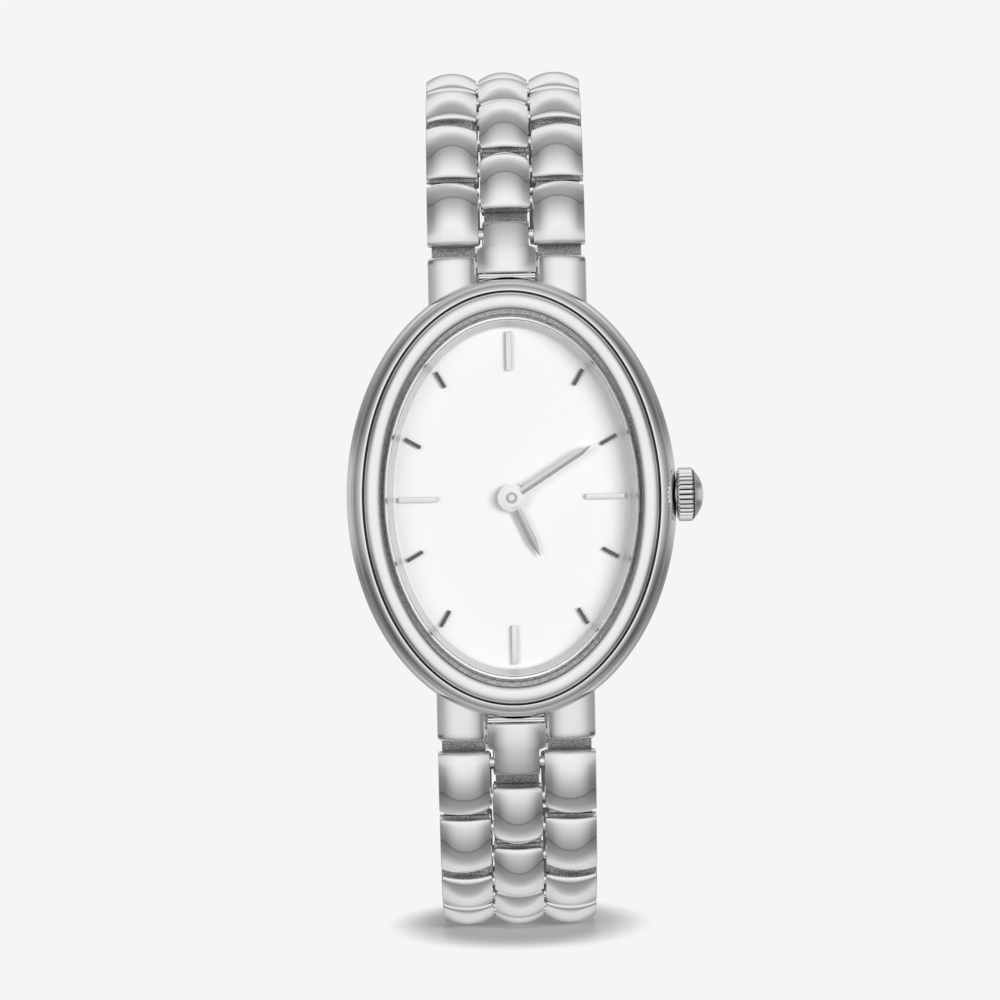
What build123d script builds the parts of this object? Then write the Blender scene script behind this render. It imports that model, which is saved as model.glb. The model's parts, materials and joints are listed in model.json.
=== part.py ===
from build123d import *
import math
import os

# Oval bracelet watch. Dial faces -Y, twelve o'clock is +Z, the crown is at +X.
# The origin is the middle of the case back's outer face, the face that lies on the wrist.
# A height is a distance from that face towards the wearer's eye, so a height h is y = -h.

# Half width and half height of the case, the oval that all the others are drawn from, and
# how far each of the others lies inside another, at the sides and at the ends
case_half = (12.0, 15.8)
case_foot_inset = (0.55, 0.55)
crease_inset = (0.5, 0.25)
seat_inset = (1.15, 0.78)
bezel_groove = (0.2, 0.17)
bezel_width = (1.05, 1.15)
crystal_gasket_width = (0.4, 0.55)
flange_top_inset = (0.25, 0.35)
flange_slope = (0.5, 0.5)
cavity_ledge = (0.4, 0.6)
back_rim = (0.35, 0.35)
movement_room = (1.7, 4.5)

# Heights of the case stack
case_belly = 1.9
case_crease = 3.9
bezel_seat = 4.5
bezel_top = 5.55
bezel_bevel = (0.5, 0.32)
back_thickness = 0.7
movement_foot = 1.0
movement_top = 2.9
dial_thickness = 0.4
crystal_top = 5.7
crystal_bevel = 0.16
crystal_gasket_top = 5.28

# Fits
fit_gap = 0.02
running_gap = 0.05
loose_gap = 0.15
overrun = 0.5

# Back gasket, a faceted ring in the corner between the back and the case wall
gasket_width = 0.4
gasket_thickness = 0.3
ring_sides = 28
ring_room = 0.08

# Movement and power cell
movement_corner = 3.2
cell_radius_share = 0.191
cell_thickness = 1.65
cell_offset_share = 0.17
cell_wall = 0.7
wheel_recess_radius = 1.65
wheel_recess_depth = 0.45
clutch_room = (1.9, 1.5, 1.2)
clutch_room_inset = 3.05

# Hand fitting
arbor_radius = 0.34
arbor_foot = 2.1
pipe_radius = 0.6
wheel_radius = 1.5
wheel_thickness = 0.22

# Hands
hour_reach = 4.67
hour_width = 0.62
hour_hub_radius = 1.0
hour_foot = 3.62
hour_thickness = 0.2
hour_angle = 155.0
minute_reach = 6.87
minute_width = 0.5
minute_hub_radius = 0.83
minute_foot = 3.98
minute_thickness = 0.2
minute_angle = 57.5
hand_bevel_share = 0.36
hand_tip_share = 1.7
cap_top = 4.36

# Applied hour bars and batons
bar_width = 0.5
bar_thickness = 0.3
bar_bevel = 0.12
bar_length = 2.8
baton_width = 0.26
baton_thickness = 0.24
baton_bevel = 0.06
baton_length = 1.3
marker_edge_gap = 0.27
hours_on_dial = 12

# Crown, tube and stem
crown_height = 2.2
crown_radius = 1.95
crown_flutes = 32
flute_depth = 0.13
crown_length = 1.37
crown_rim_bevel = 0.2
crown_clearance = 0.08
crown_dome_radius = 1.42
crown_dome_steps = ((0.36, 0.95), (0.5, 0))
crown_hollow_depth = 0.75
crown_hollow_room = 0.3
tube_radius = 0.95
tube_bore = 0.6
tube_stand = 0.55
tube_flat_inset = 0.25
tube_flat_half = 1.5
stem_radius = 0.45
stem_square = 0.4
stem_tip_inset = 3.45
stem_step_inset = 1.05
clutch_radius = 0.55
clutch_teeth = 12
clutch_tooth = 0.12
clutch_length = 0.8
clutch_inset = 0.15

# Bracelet: three columns of cushioned beads on cross pins
pin_pitch = 2.71
bead_gap = 0.33
bracelet_half = 5.75
centre_half = 1.83
column_gap = 0.15
bead_drop = 1.15
bead_heel = 0.25
bead_heel_bevel = 0.55
bead_edge = 0.72
bead_crown = 1.25
pin_radius = 0.4
pin_sides = 6
rows = 8

# Pin line of one strand, as seen from the side: where it starts, and how each link leans,
# in degrees from straight along the dial towards straight behind it
end_pin_reach = 1.2
end_pin_height = 1.9
first_pin_step = (2.2, -0.3)
visible_angles = (21.0, 31.0, 35.0, 42.0, 63.0, 67.0, 78.3)
hidden_angle_step = 9.0

# Lug horns beside the end link
horn_gap = 0.26
horn_root_depth = 3.2
horn_root_top = 3.5
horn_end_top = 2.9
horn_end_edge = 2.5
horn_end_foot = 1.15
horn_foot = 0.75
horn_end_bevel = 0.9
horn_corner = 0.45
spring_bar_radius = 0.4
spring_bar_seat = 1.4
horn_side_gap = 0.1

# End link: wide between the horns, then a waist and a narrower nose
end_base_half = 2.15
end_nose_inset = 0.17
end_base_overhang = 0.9
end_waist = 0.75
end_edge = 0.95
end_crown = 1.35

# Clasp: a fork on the upper strand and a tongue on the lower one
clasp_drop = 1.15
clasp_rise = 0.85
fork_mouth = -9.5
fork_crotch = 2.2
tongue_shoulder_gap = 0.3
tongue_tip_gap = 0.3
tongue_side_gap = 0.12
tongue_half = 2.3
button_length = 3.4
button_height = 1.1
button_corner = 0.35
button_depth = 1.3
button_stand = 0.3
button_travel = 0.3
button_z = -4.0

half_turn = 180
diagonal_share = math.sqrt(0.5)

os.makedirs("parts", exist_ok=True)


def save(name, builder):
    builder.part.label = name
    export_step(builder.part, f"parts/{name}.step")


def level(height):
    """A plane parallel to the dial at a height, with x to three o'clock and y to twelve."""
    return Plane(origin=(0, -height, 0), x_dir=(1, 0, 0), z_dir=(0, -1, 0))


def side_view(offset):
    """A plane across the watch at an x, with x to twelve o'clock and y to the wearer's eye."""
    return Plane(origin=(offset, 0, 0), x_dir=(0, 0, 1), z_dir=(1, 0, 0))


def grown(half, step):
    return (half[0] + step, half[1] + step)


def inset(half, widths):
    return (half[0] - widths[0], half[1] - widths[1])


def oval_disc(half, foot, top, mode=Mode.ADD):
    with BuildSketch(level(foot)) as outline:
        Ellipse(*half)
    extrude(outline.sketch, amount=top - foot, mode=mode)


def oval_band(outer, inner, foot, top, mode=Mode.ADD):
    with BuildSketch(level(foot)) as outline:
        Ellipse(*outer)
        Ellipse(*inner, mode=Mode.SUBTRACT)
    extrude(outline.sketch, amount=top - foot, mode=mode)


def faceted_oval(half, mode=Mode.ADD):
    """An oval drawn with flats, for edges and soft or moulded pieces that nothing shows."""
    step = 2 * math.pi / ring_sides
    Polygon(*[(half[0] * math.cos(index * step), half[1] * math.sin(index * step))
              for index in range(ring_sides)], align=None, mode=mode)


def disc(radius, foot, top, mode=Mode.ADD):
    with BuildSketch(level(foot)) as outline:
        Circle(radius)
    extrude(outline.sketch, amount=top - foot, mode=mode)


def stem_plane(x):
    """A plane square to the crown's axis at an x, with its x to the wearer's eye."""
    return Plane(origin=(x, -crown_height, 0), x_dir=(0, -1, 0), z_dir=(1, 0, 0))


def stem_disc(radius, start, finish, mode=Mode.ADD):
    with BuildSketch(stem_plane(start)) as outline:
        Circle(radius)
    extrude(outline.sketch, amount=finish - start, mode=mode)


# The ovals of the case stack
case_foot_half = inset(case_half, case_foot_inset)
crease_half = inset(case_half, crease_inset)
seat_half = inset(case_half, seat_inset)
bezel_half = inset(seat_half, bezel_groove)
bezel_bore_half = inset(bezel_half, bezel_width)
crystal_half = inset(bezel_bore_half, crystal_gasket_width)
flange_top_half = inset(crystal_half, flange_top_inset)
dial_opening_half = inset(flange_top_half, flange_slope)
cavity_half = (flange_top_half[0] + cavity_ledge[0], flange_top_half[1] + cavity_ledge[1])
back_half = inset(case_foot_half, back_rim)
holder_half = grown(cavity_half, -fit_gap)
movement_width = 2 * (cavity_half[0] - movement_room[0])
movement_height = 2 * (cavity_half[1] - movement_room[1])

# The pins that the bracelet hangs on, and the room that they leave the horns
slot_half = centre_half + column_gap
bead_overhang = (pin_pitch - bead_gap) / 2
end_link_pin = (case_half[1] + end_pin_reach, end_pin_height)
first_pin = (end_link_pin[0] + first_pin_step[0], end_link_pin[1] + first_pin_step[1])
horn_reach = first_pin[0] - bead_overhang - horn_gap
horn_root = case_half[1] - horn_root_depth

# Case back: a flat oval plate that closes the case from below
with BuildPart() as case_back:
    oval_disc(back_half, 0, back_thickness)
save("case_back", case_back)

# Lug horns: cut to their side outline, then to their plan
horn_slot_half = end_base_half + horn_side_gap
horn_width = bracelet_half - horn_slot_half
horn_middle = (horn_root + horn_reach) / 2
with BuildPart() as horns:
    with BuildSketch(side_view(-bracelet_half)):
        Polygon((horn_root, horn_foot), (horn_reach - horn_end_bevel, horn_foot),
                (horn_reach, horn_end_foot), (horn_reach, horn_end_edge),
                (horn_reach - horn_end_top + horn_end_edge, horn_end_top),
                (horn_root, horn_root_top), align=None)
    extrude(amount=2 * bracelet_half)
    with BuildSketch(level(0)):
        with Locations((horn_slot_half + horn_width / 2, horn_middle),
                       (-horn_slot_half - horn_width / 2, horn_middle)):
            Rectangle(horn_width, horn_reach - horn_root)
        far_corners = vertices().group_by(Axis.Y)[-1].sort_by(Axis.X)
        chamfer([far_corners[0], far_corners[-1]], horn_corner)
    extrude(amount=bezel_seat, mode=Mode.INTERSECT)
    mirror(about=Plane.XY)

# Case: ovals joined by leaning flanks, a crease under the shoulder, and the horns.
# The crown's tube goes through the wall where it is flattened on the inside.
bar_seat = horn_slot_half + spring_bar_seat
tube_flat_x = cavity_half[0] + tube_flat_inset
with BuildPart() as case:
    for half, height in ((case_foot_half, back_thickness), (case_half, case_belly),
                         (crease_half, case_crease), (seat_half, bezel_seat)):
        with BuildSketch(level(height)):
            Ellipse(*half)
    loft(ruled=True)
    add(horns.part)
    with BuildSketch(level(back_thickness)):
        faceted_oval(cavity_half)
        with Locations((tube_flat_x / 2, 0)):
            Rectangle(tube_flat_x, 2 * tube_flat_half)
    extrude(amount=bezel_seat - back_thickness, mode=Mode.SUBTRACT)
    stem_disc(tube_radius + fit_gap, tube_flat_x, case_half[0] + overrun, Mode.SUBTRACT)
    with BuildSketch(side_view(-bar_seat)):
        with Locations((end_link_pin[0], end_link_pin[1]), (-end_link_pin[0], end_link_pin[1])):
            Circle(spring_bar_radius + fit_gap)
    extrude(amount=2 * bar_seat, mode=Mode.SUBTRACT)
save("case", case)

with BuildPart() as back_gasket:
    with BuildSketch(level(back_thickness)):
        faceted_oval(holder_half)
        offset(amount=-gasket_width, mode=Mode.SUBTRACT)
    extrude(amount=gasket_thickness)
save("back_gasket", back_gasket)

# Bezel: a raised oval ring on the case's seat, bevelled to both sides
with BuildPart() as bezel:
    oval_band(bezel_half, bezel_bore_half, bezel_seat, bezel_top)
    top_edges = bezel.edges().group_by(Axis.Y)[0].sort_by(SortBy.LENGTH)
    chamfer(top_edges[-1], bezel_bevel[0], bezel_bevel[1])
    chamfer(top_edges[0], bezel_bevel[1])
save("bezel", bezel)

# Crystal and the ring that seals it in the bezel
with BuildPart() as crystal:
    oval_disc(crystal_half, bezel_seat, crystal_top)
    chamfer(crystal.edges().group_by(Axis.Y)[0], crystal_bevel)
save("crystal", crystal)

with BuildPart() as crystal_gasket:
    with BuildSketch(level(bezel_seat)):
        faceted_oval(grown(bezel_bore_half, -fit_gap))
        faceted_oval(grown(crystal_half, ring_room), Mode.SUBTRACT)
    extrude(amount=crystal_gasket_top - bezel_seat)
save("crystal_gasket", crystal_gasket)

# Sloping inner ring between dial and crystal
dial_top = movement_top + dial_thickness
with BuildPart() as flange_ring:
    with BuildSketch(level(dial_top)):
        faceted_oval(holder_half)
    extrude(amount=bezel_seat - dial_top)
    with BuildSketch(level(dial_top)):
        Ellipse(*dial_opening_half)
    with BuildSketch(level(bezel_seat)):
        Ellipse(*flange_top_half)
    loft(ruled=True, mode=Mode.SUBTRACT)
save("flange_ring", flange_ring)

# Dial, with the hole for the hour pipe
with BuildPart() as dial:
    with BuildSketch(level(movement_top)):
        faceted_oval(holder_half)
        Circle(pipe_radius + loose_gap, mode=Mode.SUBTRACT)
    extrude(amount=dial_thickness)
save("dial", dial)


def hour_bars(clock_hours, length, width, thickness, bevel):
    """Bars lying on the dial and pointing at its middle, one for each named hour. Their
    outer ends keep one distance from the edge of the oval opening."""
    with BuildSketch(level(dial_top)) as outline:
        for hour in clock_hours:
            turn = 2 * math.pi * hour / hours_on_dial
            edge = 1 / math.hypot(math.sin(turn) / dial_opening_half[0],
                                  math.cos(turn) / dial_opening_half[1])
            middle = edge - marker_edge_gap - length / 2
            place = (middle * math.sin(turn), middle * math.cos(turn), 0)
            with Locations(Location(place, (0, 0, -math.degrees(turn)))):
                Rectangle(width, length)
        chamfer(outline.vertices(), bevel)
    extrude(outline.sketch, amount=thickness)


with BuildPart() as quarter_bars:
    hour_bars((12, 3, 6, 9), bar_length, bar_width, bar_thickness, bar_bevel)
    chamfer(quarter_bars.edges().group_by(Axis.Y)[0], bar_bevel)
save("quarter_bars", quarter_bars)

with BuildPart() as hour_batons:
    hour_bars((1, 2, 4, 5, 7, 8, 10, 11), baton_length, baton_width, baton_thickness, baton_bevel)
save("hour_batons", hour_batons)

# Movement: a block with room for the power cell, hour wheel, stem and sliding pinion
movement_side = movement_width / 2
stem_tip_x = movement_side - stem_tip_inset
stem_step_x = movement_side - stem_step_inset
clutch_room_x = movement_side - clutch_room_inset
cell_radius = cell_radius_share * movement_height
cell_place = (cell_offset_share * movement_width, cell_radius + cell_wall - movement_height / 2)
with BuildPart() as movement:
    with BuildSketch(level(movement_foot)):
        Rectangle(movement_width, movement_height)
        chamfer(vertices(), movement_corner)
    extrude(amount=movement_top - movement_foot)
    with BuildSketch(level(movement_foot)):
        with Locations(cell_place):
            Circle(cell_radius + running_gap)
    extrude(amount=cell_thickness + running_gap, mode=Mode.SUBTRACT)
    disc(wheel_recess_radius, movement_top - wheel_recess_depth, movement_top, Mode.SUBTRACT)
    disc(arbor_radius + running_gap, arbor_foot, movement_top, Mode.SUBTRACT)
    with BuildSketch(stem_plane(stem_tip_x - loose_gap)):
        Rectangle(2 * stem_radius + 2 * running_gap, 2 * stem_radius + 2 * running_gap)
    extrude(amount=movement_width, mode=Mode.SUBTRACT)
    with BuildSketch(stem_plane(clutch_room_x)):
        Rectangle(clutch_room[2], clutch_room[1])
    extrude(amount=clutch_room[0], mode=Mode.SUBTRACT)
save("movement", movement)

with BuildPart() as power_cell:
    with BuildSketch(level(movement_foot)):
        with Locations(cell_place):
            Circle(cell_radius)
    extrude(amount=cell_thickness)
save("power_cell", power_cell)

# Holder ring between movement and case, with a gap for the stem
with BuildPart() as movement_holder:
    with BuildSketch(level(back_thickness + gasket_thickness)):
        faceted_oval(holder_half)
        Rectangle(movement_width + 2 * fit_gap, movement_height + 2 * fit_gap, mode=Mode.SUBTRACT)
    extrude(amount=movement_top - back_thickness - gasket_thickness)
    stem_disc(stem_radius + loose_gap, 0, cavity_half[0] + overrun, Mode.SUBTRACT)
save("movement_holder", movement_holder)

# Hour wheel, its pipe, and the arbor that carries the minute hand through it
wheel_foot = movement_top - wheel_recess_depth + running_gap
with BuildPart() as hour_wheel:
    disc(wheel_radius, wheel_foot, wheel_foot + wheel_thickness)
    disc(pipe_radius, wheel_foot, hour_foot + hour_thickness)
    disc(arbor_radius + running_gap, wheel_foot, hour_foot + hour_thickness, Mode.SUBTRACT)
save("hour_wheel", hour_wheel)

with BuildPart() as minute_arbor:
    disc(arbor_radius, arbor_foot + running_gap, cap_top)
save("minute_arbor", minute_arbor)


def hand(foot, thickness, reach, width, hub_radius, bore, angle):
    """A roofed baton with a pointed tip on a round hub, turned clockwise from twelve."""
    turn = math.radians(angle)
    plan = Plane(origin=(0, -foot, 0), x_dir=(math.cos(turn), 0, -math.sin(turn)),
                 z_dir=(0, -1, 0))
    across = Plane(origin=plan.origin, x_dir=plan.x_dir, z_dir=-plan.y_dir)
    with BuildSketch(across) as section:
        Polygon((-width / 2, 0), (width / 2, 0), (width / 2, thickness * hand_bevel_share),
                (0, thickness), (-width / 2, thickness * hand_bevel_share), align=None)
    extrude(section.sketch, amount=-reach)
    with BuildSketch(plan) as outline:
        shoulder = reach - width * hand_tip_share
        Polygon((-width / 2, 0), (width / 2, 0), (width / 2, shoulder), (0, reach),
                (-width / 2, shoulder), align=None)
    extrude(outline.sketch, amount=thickness, mode=Mode.INTERSECT)
    disc(hub_radius, foot, foot + thickness)
    disc(bore, foot, foot + thickness, Mode.SUBTRACT)


with BuildPart() as hour_hand:
    hand(hour_foot, hour_thickness, hour_reach, hour_width, hour_hub_radius,
         pipe_radius + fit_gap, hour_angle)
save("hour_hand", hour_hand)

with BuildPart() as minute_hand:
    hand(minute_foot, minute_thickness, minute_reach, minute_width, minute_hub_radius,
         arbor_radius + fit_gap, minute_angle)
save("minute_hand", minute_hand)


def toothed_disc(radius, teeth, depth):
    """A disc whose rim goes in and out by a depth, once for each tooth."""
    step = math.pi / teeth
    reaches = [radius - depth * (index % 2) for index in range(2 * teeth)]
    Polygon(*[(reach * math.cos(index * step), reach * math.sin(index * step))
              for index, reach in enumerate(reaches)], align=None)


# Crown tube, pressed into the case wall and standing out under the crown
tube_end = case_half[0] + tube_stand
with BuildPart() as crown_tube:
    stem_disc(tube_radius, tube_flat_x, tube_end)
    stem_disc(tube_bore, tube_flat_x, tube_end, Mode.SUBTRACT)
save("crown_tube", crown_tube)

# Crown: a turned core with bevelled rims, a stepped dome and a hollow over the tube, and
# a fluted band round it
crown_start = case_half[0] + crown_clearance
crown_end = crown_start + crown_length
hollow_radius = tube_radius + crown_hollow_room
hollow_end = crown_start + crown_hollow_depth
core_radius = crown_radius - flute_depth
with BuildPart() as crown:
    with BuildSketch(level(crown_height)):
        Polygon((hollow_end, 0), (hollow_end, hollow_radius), (crown_start, hollow_radius),
                (crown_start, core_radius - crown_rim_bevel),
                (crown_start + crown_rim_bevel, core_radius),
                (crown_end - crown_rim_bevel, core_radius),
                (crown_end, core_radius - crown_rim_bevel), (crown_end, crown_dome_radius),
                *[(crown_end + rise, radius) for rise, radius in crown_dome_steps], align=None)
    revolve(axis=Axis((0, -crown_height, 0), (1, 0, 0)))
    with BuildSketch(stem_plane(crown_start + crown_rim_bevel)):
        toothed_disc(crown_radius, crown_flutes, flute_depth)
        Circle(core_radius - flute_depth, mode=Mode.SUBTRACT)
    extrude(amount=crown_length - 2 * crown_rim_bevel)
save("crown", crown)

# Stem, up to the floor of the crown's hollow, with a squared inner end that turns the
# sliding pinion
with BuildPart() as winding_stem:
    stem_disc(stem_radius, stem_step_x, hollow_end)
    with BuildSketch(stem_plane(stem_tip_x)):
        Rectangle(stem_square, stem_square)
    extrude(amount=stem_step_x - stem_tip_x)
save("winding_stem", winding_stem)

with BuildPart() as sliding_pinion:
    with BuildSketch(stem_plane(clutch_room_x + clutch_inset)):
        toothed_disc(clutch_radius, clutch_teeth, clutch_tooth)
        Rectangle(stem_square + 2 * running_gap, stem_square + 2 * running_gap,
                  mode=Mode.SUBTRACT)
    extrude(amount=clutch_length)
save("sliding_pinion", sliding_pinion)

# Spring bars, from horn to horn through the end links
with BuildPart() as spring_bars:
    with BuildSketch(side_view(fit_gap - bar_seat)):
        with Locations((end_link_pin[0], end_link_pin[1]), (-end_link_pin[0], end_link_pin[1])):
            RegularPolygon(spring_bar_radius, pin_sides)
    extrude(amount=2 * (bar_seat - fit_gap))
save("spring_bars", spring_bars)

# Pin line of the upper strand, walked from the end link to the clasp
leans = [math.degrees(math.atan2(end_link_pin[1] - first_pin[1], first_pin[0] - end_link_pin[0]))]
leans += list(visible_angles)
while len(leans) < 2 * rows + 1:
    leans.append(leans[-1] + hidden_angle_step)
pins = [end_link_pin, first_pin]
for lean in leans[1:]:
    last_z, last_height = pins[-1]
    pins.append((last_z + pin_pitch * math.cos(math.radians(lean)),
                 last_height - pin_pitch * math.sin(math.radians(lean))))
clasp_pin_z, clasp_pin_height = pins[-1]


def strand_frame(index, side):
    """Plane on a link's near pin: x across the strand, y along the link, z away from the wrist.
    side is 1 for the upper strand and -1 for the lower one, which is the upper one
    turned half a turn about the hands' axis."""
    pin_z, pin_height = pins[index]
    lean = math.radians(leans[index])
    return Plane(origin=(0, -pin_height, side * pin_z), x_dir=(side, 0, 0),
                 z_dir=(0, -math.cos(lean), side * math.sin(lean)))


def side_on(frame, offset):
    """The link from its side: x along the link, y away from the wrist, z across."""
    return Plane(origin=frame.origin + frame.x_dir * offset, x_dir=frame.y_dir,
                 z_dir=frame.x_dir)


def cushion(frame, start, finish, low, high, edge, crown):
    """A cushioned bead between two places along a link and two places across it. Its ends
    stand upright above the pins, and are cut back below them so that neighbours clear each
    other as they bend."""
    with BuildSketch(side_on(frame, low)) as outline:
        with BuildLine():
            sole = Polyline((start, edge), (start, -bead_heel),
                            (start + bead_heel_bevel, -bead_drop),
                            (finish - bead_heel_bevel, -bead_drop),
                            (finish, -bead_heel), (finish, edge))
            ThreePointArc(sole @ 1, ((start + finish) / 2, crown), sole @ 0)
        make_face()
    extrude(outline.sketch, amount=high - low)


def cross_pins(frame, places, radius, half, mode=Mode.ADD):
    """Faceted pins across a link, or bores whose flats clear such pins."""
    with BuildSketch(side_on(frame, -half)) as sections:
        with Locations(*[(place, 0) for place in places]):
            RegularPolygon(radius, pin_sides, major_radius=mode == Mode.ADD)
    extrude(sections.sketch, amount=2 * half, mode=mode)


def outer_link(frame):
    """Two outer beads on the two pins that join them."""
    finish = pin_pitch + bead_overhang
    for low, high in ((-bracelet_half, -slot_half), (slot_half, bracelet_half)):
        cushion(frame, -bead_overhang, finish, low, high, bead_edge, bead_crown)
    cross_pins(frame, (0, pin_pitch), pin_radius, slot_half + overrun)


def centre_link(frame):
    """One centre bead, bored for its two pins."""
    cushion(frame, -bead_overhang, pin_pitch + bead_overhang, -centre_half, centre_half,
            bead_edge, bead_crown)
    cross_pins(frame, (0, pin_pitch), pin_radius + running_gap, centre_half, Mode.SUBTRACT)


def end_link(frame):
    """The middle piece between the horns, waisted to a nose between the first outer beads."""
    length = math.dist(end_link_pin, first_pin)
    finish = length + bead_overhang
    nose_half = centre_half - end_nose_inset
    flare = end_base_half - nose_half
    flare_end = end_waist + flare
    flare_middle = (end_base_half - flare * diagonal_share, flare_end - flare * diagonal_share)
    cushion(frame, -end_base_overhang, finish, -end_base_half, end_base_half, end_edge, end_crown)
    with BuildSketch(frame.offset(-bead_drop - overrun)) as plan:
        with BuildLine():
            left = Polyline((-nose_half, flare_end), (-nose_half, finish + overrun),
                            (nose_half, finish + overrun), (nose_half, flare_end))
            right_flare = ThreePointArc(left @ 1, flare_middle, (end_base_half, end_waist))
            base = Polyline(right_flare @ 1, (end_base_half, -end_base_overhang - overrun),
                            (-end_base_half, -end_base_overhang - overrun),
                            (-end_base_half, end_waist))
            ThreePointArc(base @ 1, (-flare_middle[0], flare_middle[1]), left @ 0)
        make_face()
    extrude(plan.sketch, amount=bead_drop + end_crown + 2 * overrun, mode=Mode.INTERSECT)
    cross_pins(frame, (0,), spring_bar_radius + running_gap, end_base_half, Mode.SUBTRACT)
    cross_pins(frame, (length,), pin_radius + running_gap, end_base_half, Mode.SUBTRACT)


strands = (("upper", 1), ("lower", -1))
for strand, side in strands:
    with BuildPart() as link:
        end_link(strand_frame(0, side))
    save(f"{strand}_end_link", link)
    for row in range(1, rows + 1):
        with BuildPart() as link:
            outer_link(strand_frame(2 * row - 1, side))
        save(f"{strand}_outer_link_{row}", link)
        with BuildPart() as link:
            centre_link(strand_frame(2 * row, side))
        save(f"{strand}_centre_link_{row}", link)

# Clasp: both halves lie on one arc that runs from strand to strand behind the wrist
clasp_lean = half_turn - leans[-1] - hidden_angle_step / 2
clasp_radius = clasp_pin_z / math.sin(math.radians(clasp_lean))
clasp_centre = clasp_pin_height + clasp_radius * math.cos(math.radians(clasp_lean))


def arc_angle(z):
    return math.asin(z / clasp_radius)


def clasp_sector(low, high, inner, outer, half, mode=Mode.ADD):
    """The stretch of the clasp's arc between two angles from the middle, across the strand."""
    far = clasp_radius + outer + overrun
    with BuildSketch(side_view(-half)) as outline:
        with Locations((0, clasp_centre)):
            Circle(clasp_radius + outer)
            Circle(clasp_radius - inner, mode=Mode.SUBTRACT)
        corners = [(0, clasp_centre)]
        corners += [(far / math.cos((high - low) / 2) * math.sin(angle),
                     clasp_centre - far / math.cos((high - low) / 2) * math.cos(angle))
                    for angle in (low, high)]
        Polygon(*corners, align=None, mode=Mode.INTERSECT)
    extrude(outline.sketch, amount=2 * half, mode=mode)


def clasp_pin(side):
    half = slot_half + overrun
    with BuildSketch(side_view(-half)) as outline:
        with Locations((side * clasp_pin_z, clasp_pin_height)):
            RegularPolygon(pin_radius, pin_sides)
    extrude(outline.sketch, amount=2 * half)


pin_angle = arc_angle(clasp_pin_z)
ear_angle = pin_angle + bead_overhang / clasp_radius
ear_root_angle = pin_angle - (bead_overhang + bead_gap) / clasp_radius
mouth_angle = arc_angle(fork_mouth)
crotch_angle = arc_angle(fork_crotch)
shoulder_angle = mouth_angle - tongue_shoulder_gap / clasp_radius
tip_angle = crotch_angle - tongue_tip_gap / clasp_radius
cut_room = (clasp_drop + overrun, clasp_rise + overrun)

button_angle = arc_angle(button_z)
button_plane_point = (clasp_radius * math.sin(button_angle),
                      clasp_centre - clasp_radius * math.cos(button_angle))


def button_shape(offset, grow, depth, mode=Mode.ADD):
    """A push button lying along the clasp's side, from an x inwards or outwards."""
    plane = Plane(origin=(offset, -button_plane_point[1], button_plane_point[0]),
                  x_dir=(0, math.sin(button_angle), math.cos(button_angle)), z_dir=(1, 0, 0))
    with BuildSketch(plane) as outline:
        Rectangle(button_length + 2 * grow, button_height + 2 * grow)
        chamfer(outline.vertices(), button_corner)
    extrude(outline.sketch, amount=depth, mode=mode)


button_inside = bracelet_half + button_stand - button_depth
with BuildPart() as clasp_fork:
    clasp_sector(mouth_angle, ear_angle, clasp_drop, clasp_rise, bracelet_half)
    clasp_sector(ear_root_angle, ear_angle + overrun / clasp_radius, *cut_room, slot_half,
                 Mode.SUBTRACT)
    clasp_sector(mouth_angle - overrun / clasp_radius, crotch_angle, *cut_room,
                 tongue_half + tongue_side_gap, Mode.SUBTRACT)
    clasp_pin(1)
    for side in (1, -1):
        pocket_end = side * (button_inside - button_travel - running_gap)
        button_shape(pocket_end, running_gap, side * (button_depth + button_travel + overrun),
                     Mode.SUBTRACT)
save("clasp_fork", clasp_fork)

with BuildPart() as clasp_tongue:
    clasp_sector(-ear_angle, shoulder_angle, clasp_drop, clasp_rise, bracelet_half)
    clasp_sector(shoulder_angle - overrun / clasp_radius, tip_angle, clasp_drop, clasp_rise,
                 tongue_half)
    clasp_sector(-ear_angle - overrun / clasp_radius, -ear_root_angle, *cut_room, slot_half,
                 Mode.SUBTRACT)
    clasp_pin(-1)
save("clasp_tongue", clasp_tongue)

for name, side in (("right_release_button", 1), ("left_release_button", -1)):
    with BuildPart() as release_button:
        button_shape(side * button_inside, 0, side * button_depth)
    save(name, release_button)
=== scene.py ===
import json
import math

import bmesh
import bpy
from bpy.props import FloatProperty, FloatVectorProperty, PointerProperty
from mathutils import Matrix, Vector


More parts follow.
